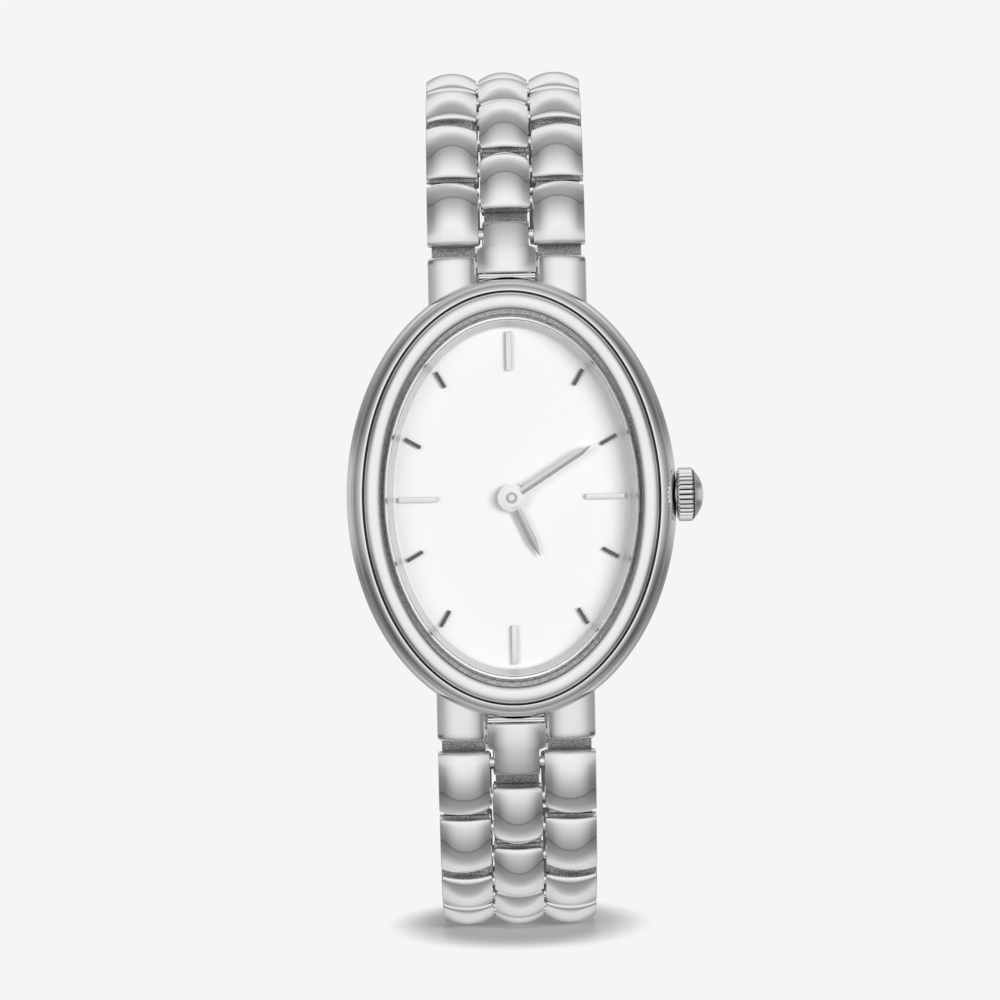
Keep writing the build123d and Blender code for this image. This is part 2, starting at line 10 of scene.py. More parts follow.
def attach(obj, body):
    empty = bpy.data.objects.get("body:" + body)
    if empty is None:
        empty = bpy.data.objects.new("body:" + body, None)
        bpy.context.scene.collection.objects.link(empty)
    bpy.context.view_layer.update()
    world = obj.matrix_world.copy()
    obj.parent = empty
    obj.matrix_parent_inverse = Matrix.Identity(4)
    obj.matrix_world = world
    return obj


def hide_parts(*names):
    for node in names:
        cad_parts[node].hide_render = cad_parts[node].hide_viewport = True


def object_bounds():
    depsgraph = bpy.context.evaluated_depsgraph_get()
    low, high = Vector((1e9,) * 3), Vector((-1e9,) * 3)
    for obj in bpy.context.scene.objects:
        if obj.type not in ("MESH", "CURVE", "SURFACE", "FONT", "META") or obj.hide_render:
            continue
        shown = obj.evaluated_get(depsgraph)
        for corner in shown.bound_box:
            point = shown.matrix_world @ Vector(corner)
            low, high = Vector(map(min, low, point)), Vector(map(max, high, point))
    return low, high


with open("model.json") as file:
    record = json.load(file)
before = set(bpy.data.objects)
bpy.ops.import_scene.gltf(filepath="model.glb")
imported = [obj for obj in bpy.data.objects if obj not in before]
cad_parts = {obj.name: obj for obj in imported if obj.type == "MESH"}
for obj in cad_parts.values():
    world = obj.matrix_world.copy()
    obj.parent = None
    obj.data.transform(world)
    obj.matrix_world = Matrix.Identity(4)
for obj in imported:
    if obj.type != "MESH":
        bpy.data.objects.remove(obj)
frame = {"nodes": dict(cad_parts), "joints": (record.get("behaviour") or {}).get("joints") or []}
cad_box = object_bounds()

bl_info = {
    "name": "Oval Bracelet Watch",
    "version": (1, 0, 0),
    "blender": (4, 5, 0),
    "location": "View3D > Sidebar > Watch",
    "description": "Builds the visible pieces of an oval bracelet watch on its packed frame",
    "category": "Object",
}

# Lengths below are in millimetres, and a height is a distance from the case back's outer face
# towards the wearer's eye, along -Y. Blender gets metres.
mm = 0.001
micron = 0.000001
weld = 1e-8
oval_segments, turned_segments, pin_segments = 192, 64, 28

# Case stack. A step of a profile is the two half axes of an oval, towards three and towards twelve,
# and its height. The first two numbers of a step of the case are set back from its outside.
back_profile = ((10.85, 14.65, 0.0), (11.02, 14.82, 0.06), (11.1, 14.9, 0.2), (11.1, 14.9, 0.7))
back_recess = ((10.2, 14.0, 0.0), (10.1, 13.9, 0.07))
case_profile = (
    (0.65, 0.93, 0.7), (0.45, 0.7, 0.82), (0.25, 0.5, 1.05), (0.1, 0.25, 1.5), (0.02, 0.08, 1.95),
    (0.0, 0.0, 2.3), (0.03, 0.02, 2.75), (0.12, 0.09, 3.2), (0.25, 0.2, 3.55), (0.38, 0.32, 3.78),
    (0.41, 0.35, 3.83), (0.45, 0.39, 3.865), (0.49, 0.43, 3.875), (0.52, 0.46, 3.9), (0.6, 0.52, 3.985),
    (0.7, 0.61, 4.08), (0.8, 0.7, 4.16), (0.9, 0.8, 4.225), (1.0, 0.9, 4.275), (1.08, 0.98, 4.305),
    (1.14, 1.03, 4.315), (1.19, 1.08, 4.3), (1.22, 1.11, 4.25), (1.235, 1.125, 4.15), (1.235, 1.125, 4.0))
cavity_half = (9.36, 13.41)
bezel_foot, bezel_spring, bezel_rise, bezel_steps = 4.5, 5.0, 0.5, 22
bezel_stretch, bezel_fullness = 1.06, 0.62
bezel_lip_half, bezel_lip_outer, bezel_lip_inner, wall_draft = (9.29, 13.3), 4.92, 5.0, 0.01
crystal_foot, crystal_top, crystal_bevel, crystal_foot_bevel = 4.53, 5.7, 0.16, 0.05
seal_profile = ((9.27, 13.28, 4.55), (9.27, 13.28, 4.9), (9.25, 13.24, 4.96), (9.21, 13.18, 4.96),
                (9.18, 13.12, 5.0), (9.18, 13.12, 4.55))
dial_top, dial_thickness, dial_hole, dial_rings = 3.3, 0.4, 0.75, ((8.4, 12.2), (4.0, 5.5))
flange_top, flange_outer, flange_lift = 4.48, (9.3, 13.35), 0.01
flange_profile = ((8.95, 12.8, 4.48), (8.93, 12.78, 4.4), (8.58, 12.43, 3.52), (8.54, 12.39, 3.44),
                  (8.46, 12.31, 3.36), (8.45, 12.3, 3.28))

# Markers: piece, hours, kind, corner radius, height, width of the bevel, finishes and node. The steps
# of a bevel, here and below, go inwards and lie under the top by shares of the bevel's width.
marker_sets = (
    # The quarter bars' second finish is painted shade: a darker steel on their walls and bevels.
    ("quarter_markers", (0, 3, 6, 9), "bar", 0.16, 0.3, 0.07, ("marker_metal", "hand_satin"), "quarter_bars"),
    # painted reflection: the batons are near-black all over, for polished bars that mirror dark surroundings
    ("baton_markers", (1, 2, 4, 5, 7, 8, 10, 11), "baton", 0.03, 0.24, 0.05,
     ("dark_nickel", "dark_nickel"), "hour_batons"))
marker_arcs, flat_normal, marker_bevel = 6, 0.9, ((0.0, 0.8), (0.3, 0.25), (1.0, 0.0))

# Hands: piece, its reach's name, height of its foot, width, hub, bore, degrees from twelve, body and node
hand_set = (
    ("hour_hand_piece", "hour_reach", 3.62, 0.62, 1.0, 0.62, 155.0, "hour_work", "hour_hand"),
    ("minute_hand_piece", "minute_reach", 3.98, 0.5, 0.83, 0.36, 57.5, "minute_work", "minute_hand"))
hand_thickness, hand_slope, hand_taper, hand_ridge_width = 0.2, 22, 1.7, 0.01
hand_root, hand_wall, hand_tip_half, hand_tip_ridge = 0.8, 0.8, 0.012, 0.5
hub_bevel, hub_bevel_steps = 0.07, ((0.0, 1.0), (0.4, 0.3), (1.3, 0.0))
arbor_profile = ((0.34, 2.15), (0.34, 4.2), (0.33, 4.26), (0.29, 4.31), (0.22, 4.34), (0.12, 4.355),
                 (0.03, 4.36))

# Crown. A step of its rim is a place along it, a distance inside the flutes and the flutes' depth.
crown_start, crown_height, crown_dome, dome_steps, dome_eye = 12.03, 2.2, 0.59, 12, 0.02
crown_flutes, flute_steps, flute_width, flute_power = 32, 8, 1.15, 0.9
crown_recess = ((0.75, 0.02), (0.75, 1.25), (0.0, 1.25))
crown_rim = ((0.0, 0.3, 0.0), (0.04, 0.2, 0.03), (0.1, 0.08, 0.1), (0.17, 0.0, 0.21), (0.6, 0.0, 0.21),
             (1.04, 0.0, 0.21), (1.13, 0.08, 0.14), (1.24, 0.22, 0.05), (1.31, 0.3, 0.0), (1.33, 0.34, 0.0))
# The deep parts of the flute grooves between the last two places take painted shade, in near-black steel.
crown_face, flute_shade_start, flute_shade_end, flute_shade_depth = 0.02, 0.08, 1.2, 0.1

# Lug horns
horn_inner, horn_outer, horn_root, horn_reach = 2.25, 5.75, 12.6, 17.62
horn_root_top, horn_end_top, horn_foot, horn_end_foot = 3.5, 2.9, 0.75, 1.15
horn_corner, horn_fall, horn_end_bevel = 0.45, 0.45, 0.9
horn_stops, horn_corner_steps, horn_top_steps = (0.0, 0.18, 0.36, 0.54, 0.7, 0.82, 0.885), 7, 8
horn_tip_fall, horn_tip_inward = 0.45, 0.12
horn_inner_edge, horn_outer_edge, horn_top_bevel, horn_foot_bevel = 0.1, 0.14, 0.09, 0.1

# Bracelet. A bead's near end is the one towards the case.
centre_half, slot_half, bracelet_half, rows_per_strand = 1.83, 1.98, 5.75, 8
near_overhang, far_overhang, nose_overhang = 0.8, 1.22, 0.92
bead_drop, bead_heel, heel_bevel, sole_bevel = 1.15, 0.25, 0.55, 0.06
bead_edge, bead_bulge, bead_top_steps, bead_inner_steps = 0.5, 0.11, 10, 8
near_roll, roll_depth, corner_share, end_sag, sag_power = 0.2, 0.9, 0.85, 0.55, 0.7
side_bevel = ((0.0, 1.0), (0.35, 0.3))
near_stations = (0.0, 0.02, 0.05, 0.09, 0.14, near_roll, 0.34, heel_bevel)
far_stations = (0.72, 0.62, 0.55, 0.48, 0.4, 0.32, 0.24, 0.17)
outer_corner, outer_nose, centre_nose, near_corner, centre_near_corner = 0.16, 0.85, 0.8, 0.14, 0.35
lip_top, lip_sole, lip_length, first_lip, end_lip = -0.34, -1.0, 0.42, 0.9, 0.22
lip_root, lip_bevel_length, lip_bevel_height = 0.3, 0.08, 0.1
outer_lip_inset, centre_lip_inset, end_lip_inset = 0.3, 0.25, 0.1
pin_radius, bore_radius, pin_bury, bore_beyond = 0.36, 0.41, 0.25, 0.5
# The first two set where a link's ends take the darker grained steel, painted shade in the gaps between
# links.
shaded_end_depth, shaded_end_below_edge, lip_start = 0.12, 0.16, 0.15
end_normal, heel_normal, sole_normal = 0.98, 0.3, -0.5

# End links
end_base_half, end_nose_half, end_base_overhang, end_waist = 2.15, 1.66, 0.78, 0.75
end_crown, end_apex, end_fall, end_radius = 1.35, 0.2, 0.66, 7.4
end_root_stations, end_nose_stations = (0.0, 0.3, 0.6), (1.45, 1.75, 2.05, 2.3)
end_flare_steps, end_top_steps, end_edge_station = 6, 14, 0.3

# Clasp, drawn flat along its arc and then bent
clasp_last_bend = 4.5
clasp_drop, clasp_rise, clasp_bevel, clasp_sag = 1.15, 0.85, 0.14, 0.2
clasp_cuts = (-4.6, -3.4, -1.2, 0.0, 1.2, 3.4, 4.6)
fork_mouth, fork_crotch, button_place = -9.5, 2.2, -4.0
clasp_gap, tongue_side_gap, tongue_half = 0.3, 0.12, 2.3
ear_overhang, ear_gap = 1.12, 0.45
button_size, button_stand, button_bevel = (1.3, 3.4, 1.1), 0.3, 0.2
pocket_depth, pocket_slack, pocket_beyond = 0.35, 0.05, 1
bend_step = 0.8


def mm_prop(name, text, default):
    """A length that the user can change, in Blender's own units."""
    return FloatProperty(name=name, description=text, default=default * mm, min=0.0,
                         subtype="DISTANCE", unit="LENGTH", precision=4)


def colour_prop(name, text, default):
    """A colour that the user can change."""
    return FloatVectorProperty(name=name, description=text, default=default, size=3,
                               min=0.0, max=1.0, subtype="COLOR")


class WatchSizes(bpy.types.PropertyGroup):
    """Sizes of the watch that a user may change."""
    case_half_width: mm_prop("Case half width", "From the middle to three o'clock", 12.0)
    case_half_height: mm_prop("Case half height", "From the middle to twelve o'clock", 16.08)
    bezel_half_width: mm_prop("Bezel half width", "Outside of the bezel at three o'clock", 10.62)
    bezel_half_height: mm_prop("Bezel half height", "Outside of the bezel at twelve", 14.82)
    bezel_width: mm_prop("Bezel width", "Width of the rounded ring", 1.18)
    crystal_half_width: mm_prop("Crystal half width", "Edge of the glass at three", 9.13)
    crystal_half_height: mm_prop("Crystal half height", "Edge of the glass at twelve", 13.05)
    bar_length: mm_prop("Bar length", "Length of the four quarter bars", 2.86)
    bar_width: mm_prop("Bar width", "Width of the four quarter bars", 0.4)
    baton_length: mm_prop("Baton length", "Length of the eight small batons", 1.3)
    baton_width: mm_prop("Baton width", "Width of the eight small batons", 0.27)
    marker_gap: mm_prop("Marker gap", "From a marker's outer end to the flange", 0.24)
    hour_reach: mm_prop("Hour hand reach", "From the middle to the hour hand's tip", 4.67)
    minute_reach: mm_prop("Minute hand reach", "From the middle to the minute hand's tip", 6.87)
    crown_radius: mm_prop("Crown radius", "Over the crown's flutes", 1.95)
    bead_crown: mm_prop("Bead crown", "Top of a bead above its pins", 1.25)
    bead_fall: mm_prop("Bead fall", "How far a bead's top falls to its sides", 0.55)
    bead_bevel: mm_prop("Bead bevel", "Polished bevel round a bead's top", 0.1)


class WatchFinishes(bpy.types.PropertyGroup):
    """Colours of the watch's finishes."""
    steel: colour_prop("Steel", "Polished steel", (0.94, 0.94, 0.943))
    satin: colour_prop("Satin steel", "Finely brushed steel", (0.62, 0.62, 0.625))
    lacquer: colour_prop("Dial", "White dial lacquer", (0.93, 0.93, 0.925))
    silver: colour_prop("Flange", "Silver-grey inner ring", (0.66, 0.66, 0.66))
    # painted reflection: near-black for the batons, standing in for the dark surroundings that polished bars
    # mirror
    nickel: colour_prop("Dark nickel", "Small batons", (0.09, 0.09, 0.095))
    seal: colour_prop("Seal", "Ring between glass and bezel", (0.3, 0.3, 0.3))
    movement: colour_prop("Movement", "Metal of the movement", (0.7, 0.7, 0.68))
    brass: colour_prop("Brass", "Wheels of the movement", (0.78, 0.6, 0.32))
    plastic: colour_prop("Plastic", "Movement holder", (0.82, 0.82, 0.8))
    rubber: colour_prop("Rubber", "Back gasket", (0.05, 0.05, 0.05))


class WatchStage(bpy.types.PropertyGroup):
    """Floor, lamps and camera."""
    background: FloatProperty(name="Background", description="Tone behind the watch",
                              default=0.913, min=0.0, max=1.0)
    ambient: FloatProperty(name="Ambient", description="Light from all round on matt surfaces",
                           default=0.18, min=0.0, max=1.0)
    floor: FloatProperty(name="Floor", description="Tone of the floor round the foot",
                         default=0.9, min=0.0, max=1.0)
    key_power: FloatProperty(name="Top lamp", description="Power of the lamp above",
                             default=0.32, min=0.0, unit="POWER")
    fill_power: FloatProperty(name="Front lamps", description="Mean power of the two front lamps",
                              default=1.24, min=0.0, unit="POWER")
    distance: mm_prop("Camera distance", "From the lens to the top of the bezel", 320.0)
    lens: FloatProperty(name="Focal length", description="Focal length of the lens in mm",
                        default=160.0, min=1.0)


def lengths(*names):
    """The user's sizes of these names, in millimetres."""
    return [getattr(bpy.context.scene.watch_sizes, name) / mm for name in names]


# ---------------------------------------------------------------- meshes

def at(x, z, height):
    """A point by its place on the dial's plane and its height."""
    return Vector((x * mm, -height * mm, z * mm))


def turned_at(across, along, height, turn):
    """A point beside and along a line from the dial's middle, turned clockwise from twelve."""
    return at(across * math.cos(turn) + along * math.sin(turn),
              along * math.cos(turn) - across * math.sin(turn), height)


def on_link(across, along, out):
    """A point of a link, across and along the strand and away from the wrist."""
    return Vector((across * mm, along * mm, out * mm))


def join_loops(bm, loops, closed=False):
    """Bridges loops of equal length, and closes the two ends if they are open."""
    rows = [[bm.verts.new(point) for point in loop] for loop in loops]
    pairs = list(zip(rows, rows[1:]))
    if closed:
        pairs.append((rows[-1], rows[0]))
    count = len(rows[0])
    for low, high in pairs:
        for index in range(count):
            after = (index + 1) % count
            bm.faces.new((low[index], low[after], high[after], high[index]))
    if not closed:
        bm.faces.new(rows[0])
        bm.faces.new(rows[-1])
    return rows


def oval_loop(half_x, half_z, height, segments=oval_segments):
    """An oval round the dial's middle."""
    step = 2 * math.pi / segments
    return [at(half_x * math.cos(index * step), half_z * math.sin(index * step), height)
            for index in range(segments)]


def inset_loop(half, inset, height):
    """An oval that lies evenly inside another."""
    return oval_loop(half[0] - inset, half[1] - inset, height)


def turned(bm, profile, closed=False):
    """A round form on the dial's axis, from steps of radius and height."""
    join_loops(bm, [oval_loop(radius, radius, height, turned_segments) for radius, height in profile], closed)


def mark_band(bm, rows, index):
    """Gives the faces between rows of vertices another finish of their piece."""
    band = {vertex for row in rows for vertex in row}
    for face in bm.faces:
        if all(vertex in band for vertex in face.verts):
            face.material_index = index


def linked(name, data):
    """A new object in the scene."""
    made = bpy.data.objects.new(name, data)
    bpy.context.scene.collection.objects.link(made)
    return made


def opened(mesh):
    """A mesh as a bmesh, to be worked on."""
    bm = bmesh.new()
    bm.from_mesh(mesh)
    return bm


def mesh_from(bm, name="shape"):
    """A bmesh as a mesh, welded and with its faces turned outwards."""
    bmesh.ops.remove_doubles(bm, verts=bm.verts, dist=weld)
    bmesh.ops.recalc_face_normals(bm, faces=bm.faces)
    mesh = bpy.data.meshes.new(name)
    bm.to_mesh(mesh)
    bm.free()
    return mesh


def modified(mesh, kind, cutter=None, **settings):
    """The mesh after one modifier, with nothing of it left in the scene."""
    helpers = [linked("holder", mesh)]
    modifier = helpers[0].modifiers.new("cut", kind)
    if cutter:
        helpers.append(linked("cutter", cutter))
        modifier.object = helpers[1]
    for key, value in settings.items():
        setattr(modifier, key, value)
    graph = bpy.context.evaluated_depsgraph_get()
    result = bpy.data.meshes.new_from_object(helpers[0].evaluated_get(graph))
    for helper in helpers:
        bpy.data.objects.remove(helper)
    return result


def dressed(name, mesh, looks, body, slot, *nodes, sharp=30.0, weighted=False):
    """Makes a mesh a piece: shaded, with its finishes, riding on its body and standing for its nodes.
    Edges over sharp degrees stay hard, and weighted lets large faces lead the shading."""
    mesh.shade_smooth()
    mesh.set_sharp_from_angle(angle=math.radians(sharp))
    if weighted:
        mesh = modified(mesh, "WEIGHTED_NORMAL", keep_sharp=True)
    for look in looks:
        mesh.materials.append(finish(look))
    piece = linked(name, mesh)
    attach(piece, body)
    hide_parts(*nodes)


def finished(name, bm, *details, **shading):
    """Makes a bmesh a piece, with the details that dressed takes."""
    dressed(name, mesh_from(bm, name), *details, **shading)


def cushion(off, half, fall):
    """How far a round cushion falls at a share of its half width."""
    radius = (half * half + fall * fall) / (2 * fall)
    return radius - math.sqrt(radius * radius - (off * half) ** 2)


def corner_tuck(radius, past):
    """How far a rounded corner draws back at a distance past its start."""
    past = max(past, 0.0)
    return radius - math.sqrt(max(radius * radius - past * past, 0.0))


def arc_height(place, low, high, edge, crown):
    """Height of a shallow arc that runs from edge up to crown and back, between two places."""
    half = (high - low) / 2
    rise = crown - edge
    radius = (half * half + rise * rise) / (2 * rise)
    off = place - (low + high) / 2
    return crown - radius + math.sqrt(max(radius * radius - off * off, 0.0))


# ---------------------------------------------------------------- finishes

def node(tree, kind, inputs=None, **settings):
    """A shader node, with sockets linked and values set by the inputs' keys."""
    made = tree.nodes.new("ShaderNode" + kind)
    for key, value in settings.items():
        setattr(made, key, value)
    for key, value in (inputs or {}).items():
        if isinstance(value, bpy.types.NodeSocket):
            tree.links.new(value, made.inputs[key])
        else:
            made.inputs[key].default_value = value
    return made


def ramp(tree, factor, stops):
    """A colour ramp of greys or colours."""
    made = node(tree, "ValToRGB", {"Fac": factor})
    elements = made.color_ramp.elements
    while len(elements) > 1:
        elements.remove(elements[-1])
    for index, (place, tone) in enumerate(stops):
        element = elements[0] if index == 0 else elements.new(place)
        element.position = place
        element.color = (*tone, 1.0) if isinstance(tone, (tuple, list)) else (tone, tone, tone, 1.0)
    return made.outputs["Color"]


def maths(tree, operation, first, second=0.0):
    """One step of arithmetic on sockets or numbers."""
    return node(tree, "Math", {0: first, 1: second}, operation=operation).outputs[0]


def spread(tree, value, low, high, out_low, out_high, smooth=False):
    """A value moved from one range to another."""
    ranges = {"Value": value, "From Min": low, "From Max": high, "To Min": out_low, "To Max": out_high}
    kind = "SMOOTHSTEP" if smooth else "LINEAR"
    return node(tree, "MapRange", ranges, interpolation_type=kind).outputs["Result"]


def noise(tree, place, scale, detail, roughness=0.5):
    """Noise between nought and one."""
    return node(tree, "TexNoise", {"Vector": place, "Scale": scale, "Detail": detail,
                                   "Roughness": roughness}).outputs["Fac"]


def toned(colour, share):
    """A colour made lighter or darker, kept within white."""
    return tuple(min(1.0, part * share) for part in colour)


def new_material(name):
    """A bare material, its tree and the object's own coordinates in it."""
    made = bpy.data.materials.new(name)
    made.use_nodes = True
    tree = made.node_tree
    tree.nodes.clear()
    return made, tree, node(tree, "TexCoord").outputs["Object"]


def surface(name, colour, metallic, roughness, grain, relief, tones=(0.94, 1.04), cloud=220.0,
            specular=0.5):
    """A procedural finish: cloudy tone, grain in the roughness, and a relief of a strength and microns."""
    made, tree, place = new_material(name)
    drawn = node(tree, "Mapping", {"Vector": place, "Scale": grain}).outputs["Vector"]
    clouds = noise(tree, place, cloud, 4.0, 0.55)
    fine = noise(tree, drawn, 1.0, 5.0, 0.65)
    tone = ramp(tree, clouds, ((0.3, toned(colour, tones[0])), (0.7, toned(colour, tones[1]))))
    rough = spread(tree, fine, 0.3, 0.7, *roughness)
    bump = node(tree, "Bump", {"Height": fine, "Strength": relief[0], "Distance": relief[1] * micron})
    shader = node(tree, "BsdfPrincipled", {
        "Base Color": tone, "Metallic": metallic, "Roughness": rough, "Normal": bump.outputs["Normal"],
        "Specular IOR Level": specular})
    node(tree, "OutputMaterial", {"Surface": shader.outputs[0]})
    return made


def glass(name):
    """Clear mineral glass that lets lamp light through to the dial."""
    made, tree, place = new_material(name)
    wipe = noise(tree, place, 160.0, 3.0)
    tone = ramp(tree, wipe, ((0.3, (0.97, 0.975, 0.975)), (0.7, (0.99, 0.99, 0.99))))
    rough = spread(tree, wipe, 0.4, 0.8, 0.0, 0.012)
    clear = node(tree, "BsdfPrincipled",
                 {"Base Color": tone, "Roughness": rough, "Transmission Weight": 1.0, "IOR": 1.46})
    through = node(tree, "BsdfTransparent", {"Color": (0.97, 0.97, 0.97, 1.0)})
    light = node(tree, "LightPath").outputs
    passing = maths(tree, "MAXIMUM", light["Is Shadow Ray"], light["Is Diffuse Ray"])
    mixed = node(tree, "MixShader", {0: passing, 1: clear.outputs[0], 2: through.outputs[0]})
    node(tree, "OutputMaterial", {"Surface": mixed.outputs[0]})
    return made


# Finishes: colour and a share of it, then metal, roughness, grain along the three axes, relief and, where
# they differ from the usual ones, tones, cloud and specular level
recipes = {
    "polished_steel": ("steel", 1.0, 1.0, (0.025, 0.05), (900, 5200, 900), (0.05, 4), (0.97, 1.02)),
    "polished_edge": ("steel", 1.0, 1.0, (0.1, 0.16), [2500] * 3, (0.06, 4), (0.97, 1.03)),
    # painted shade: steel darkened to half, with a coarse grain, on link ends, heels and lips in the gaps
    # between links
    "grained_steel": ("steel", 0.5, 1.0, (0.22, 0.45), [16000] * 3, (0.8, 30), (0.3, 1.5), 9500.0),
    "frosted_steel": ("steel", 0.68, 1.0, (0.25, 0.4), [9000] * 3, (0.6, 30), (0.6, 1.25), 5200.0),
    "sole_steel": ("steel", 0.3, 1.0, (0.35, 0.5), (900, 12000, 900), (0.4, 20), (0.85, 1.15)),
    # painted shade: near-black steel in the gap round the bezel, on the wall under it and deep in the crown's
    # flutes
    "groove_steel": ("steel", 0.12, 1.0, (0.3, 0.5), [6000] * 3, (0.3, 10), (0.7, 1.3)),
    "satin_steel": ("satin", 1.0, 1.0, (0.22, 0.38), (400, 400, 14000), (0.25, 12), (0.93, 1.05)),
    "cell_steel": ("satin", 1.1, 1.0, (0.16, 0.26), [3000] * 3, (0.1, 10)),
    "hand_metal": ("steel", 1.03, 1.0, (0.08, 0.13), (5200, 900, 5200), (0.05, 3)),
    # painted shade: a darker copy of the hands' steel, for one facet of each hand and for the quarter bars'
    # walls and bevels
    "hand_satin": ("steel", 0.66, 1.0, (0.16, 0.24), (9000, 900, 9000), (0.15, 6)),
    "marker_metal": ("steel", 0.97, 1.0, (0.07, 0.12), (5200, 900, 5200), (0.05, 3)),
    # painted reflection: near-black metal for the batons, in place of the dark surroundings they mirror
    "dark_nickel": ("nickel", 1.0, 1.0, (0.16, 0.26), [4000] * 3, (0.08, 4), (0.8, 1.3)),
    "white_lacquer": ("lacquer", 1.0, 0.0, (0.42, 0.56), [14000] * 3, (0.12, 4), (0.988, 1.006), 90.0, 0.3),
    "flange_lacquer": ("silver", 1.0, 0.35, (0.3, 0.42), [9000] * 3, (0.15, 6), (0.96, 1.03)),
    "seal_nylon": ("seal", 1.0, 0.3, (0.35, 0.6), [9000] * 3, (0.5, 20), (0.5, 1.5), 4200.0),
    "seal_rubber": ("rubber", 1.0, 0.0, (0.5, 0.75), [5000] * 3, (0.4, 20), (0.8, 1.2)),
    "movement_metal": ("movement", 1.0, 1.0, (0.3, 0.45), (350, 350, 9000), (0.3, 15)),
    "brass_wheel": ("brass", 1.0, 1.0, (0.2, 0.32), [5000] * 3, (0.1, 8)),
    "holder_plastic": ("plastic", 1.0, 0.0, (0.4, 0.55), [6000] * 3, (0.2, 10), (0.96, 1.03)),
}
made_finishes = {}


def finish(name):
    """The shared finishes, each made when it is first asked for."""
    if name not in made_finishes:
        if name == "crystal_glass":
            made_finishes[name] = glass(name)
        else:
            colour, share, *details = recipes[name]
            paint = getattr(bpy.context.scene.watch_finishes, colour)
            made_finishes[name] = surface(name, toned(paint, share), *details)
    return made_finishes[name]


# ---------------------------------------------------------------- case and glass

class WATCH_OT_case(bpy.types.Operator):
    """Middle case with its horns, and the case back"""
    bl_idname = "watch.case"
    bl_label = "Case and back"

    def execute(self, context):
        half = lengths("case_half_width", "case_half_height")
        bm = bmesh.new()
        loops = [oval_loop(half[0] - in_x, half[1] - in_z, height) for in_x, in_z, height in case_profile]
        loops += [oval_loop(*cavity_half, case_profile[-1][2]), oval_loop(*cavity_half, case_profile[0][2])]
        rows = join_loops(bm, loops, closed=True)
        mark_band(bm, rows[-5:-1], 1)  # painted shade: near-black steel in the groove round the bezel's foot
        for way in (1, -1):
            for side in (1, -1):
                self.horn(bm, side, way)
        finished("watch_case", bm, ("polished_steel", "groove_steel"), "watch_head", "polished_steel", "case")

        bm = bmesh.new()
        loops = [oval_loop(*step) for step in back_recess[::-1] + back_profile]
        loops.append(oval_loop(*cavity_half, back_profile[-1][2]))
        join_loops(bm, loops)
        finished("watch_back", bm, ("satin_steel",), "watch_head", "satin_steel", "case_back")
        return {"FINISHED"}

    def horn(self, bm, side, way):
        """One horn, lofted from its root to its end with a rounded outer corner."""
        length = horn_reach - horn_root
        stations = [horn_root + length * share for share in horn_stops]
        stations += [horn_reach - horn_corner * (1 - math.sin(math.pi / 2 * step / horn_corner_steps))
                     for step in range(1, horn_corner_steps + 1)]
        loops = []
        for z in stations:
            tuck = corner_tuck(horn_corner, z - (horn_reach - horn_corner))
            share = (z - horn_root) / length
            top = horn_root_top + (horn_end_top - horn_root_top) * share - horn_tip_fall * tuck
            lift = max(0.0, z - horn_reach + horn_end_bevel) / horn_end_bevel
            foot = horn_foot + lift * (horn_end_foot - horn_foot)
            inner, outer = horn_inner + horn_tip_inward * tuck, horn_outer - tuck
            middle, half = (inner + outer) / 2, (outer - inner) / 2
            loop = [(inner, foot), (inner, top - horn_fall - horn_inner_edge)]
            for step in range(horn_top_steps + 1):
                off = -1 + 2 * step / horn_top_steps
                loop.append((middle + off * (half - horn_top_bevel), top - cushion(off, half, horn_fall)))
            loop += [(outer, top - horn_fall - horn_outer_edge), (outer, foot + horn_foot_bevel),
                     (outer - horn_foot_bevel, foot)]
            loops.append([at(side * x, way * z, height) for x, height in loop])
        join_loops(bm, loops)


class WATCH_OT_bezel(bpy.types.Operator):
    """Rounded oval ring round the glass, with a grained lip inside it"""
    bl_idname = "watch.bezel"
    bl_label = "Bezel"

    def execute(self, context):
        half_x, half_z, width = lengths("bezel_half_width", "bezel_half_height", "bezel_width")
        bm = bmesh.new()
        loops = [oval_loop(half_x, half_z, bezel_foot)]
        for step in range(bezel_steps + 1):
            turn = math.pi * step / bezel_steps
            inward = width / 2 * (1 - math.cos(turn))
            loops.append(oval_loop(half_x - inward, half_z - inward * bezel_stretch,
                                   bezel_spring + bezel_rise * math.sin(turn) ** bezel_fullness))
        inner = (half_x - width, half_z - width * bezel_stretch)
        loops += [inset_loop(inner, wall_draft, bezel_lip_outer), oval_loop(*bezel_lip_half, bezel_lip_inner),
                  inset_loop(bezel_lip_half, wall_draft, bezel_foot)]
        rows = join_loops(bm, loops, closed=True)
        mark_band(bm, rows[-3:-1], 1)  # the lip
        mark_band(bm, rows[:2], 2)  # painted shade: near-black steel on the wall under the ring
        finished("bezel_ring", bm, ("polished_steel", "frosted_steel", "groove_steel"),
                 "watch_head", "polished_steel", "bezel")
        return {"FINISHED"}


class WATCH_OT_crystal(bpy.types.Operator):
    """Flat oval glass with a bevelled edge, and the ring that seals it"""
    bl_idname = "watch.crystal"
    bl_label = "Crystal and seal"

    def execute(self, context):
        half = lengths("crystal_half_width", "crystal_half_height")
        steps = ((crystal_foot_bevel, crystal_foot), (0.0, crystal_foot + crystal_foot_bevel),
                 (0.0, crystal_top - crystal_bevel), (crystal_bevel, crystal_top))
        bm = bmesh.new()
        join_loops(bm, [inset_loop(half, inset, height) for inset, height in steps])
        finished("crystal_pane", bm, ("crystal_glass",), "watch_head", "crystal_glass", "crystal")
        bm = bmesh.new()
        join_loops(bm, [oval_loop(*step) for step in seal_profile], closed=True)
        finished("crystal_seal", bm, ("seal_nylon",), "watch_head", "seal_plastic", "crystal_gasket")
        return {"FINISHED"}


# ---------------------------------------------------------------- dial side

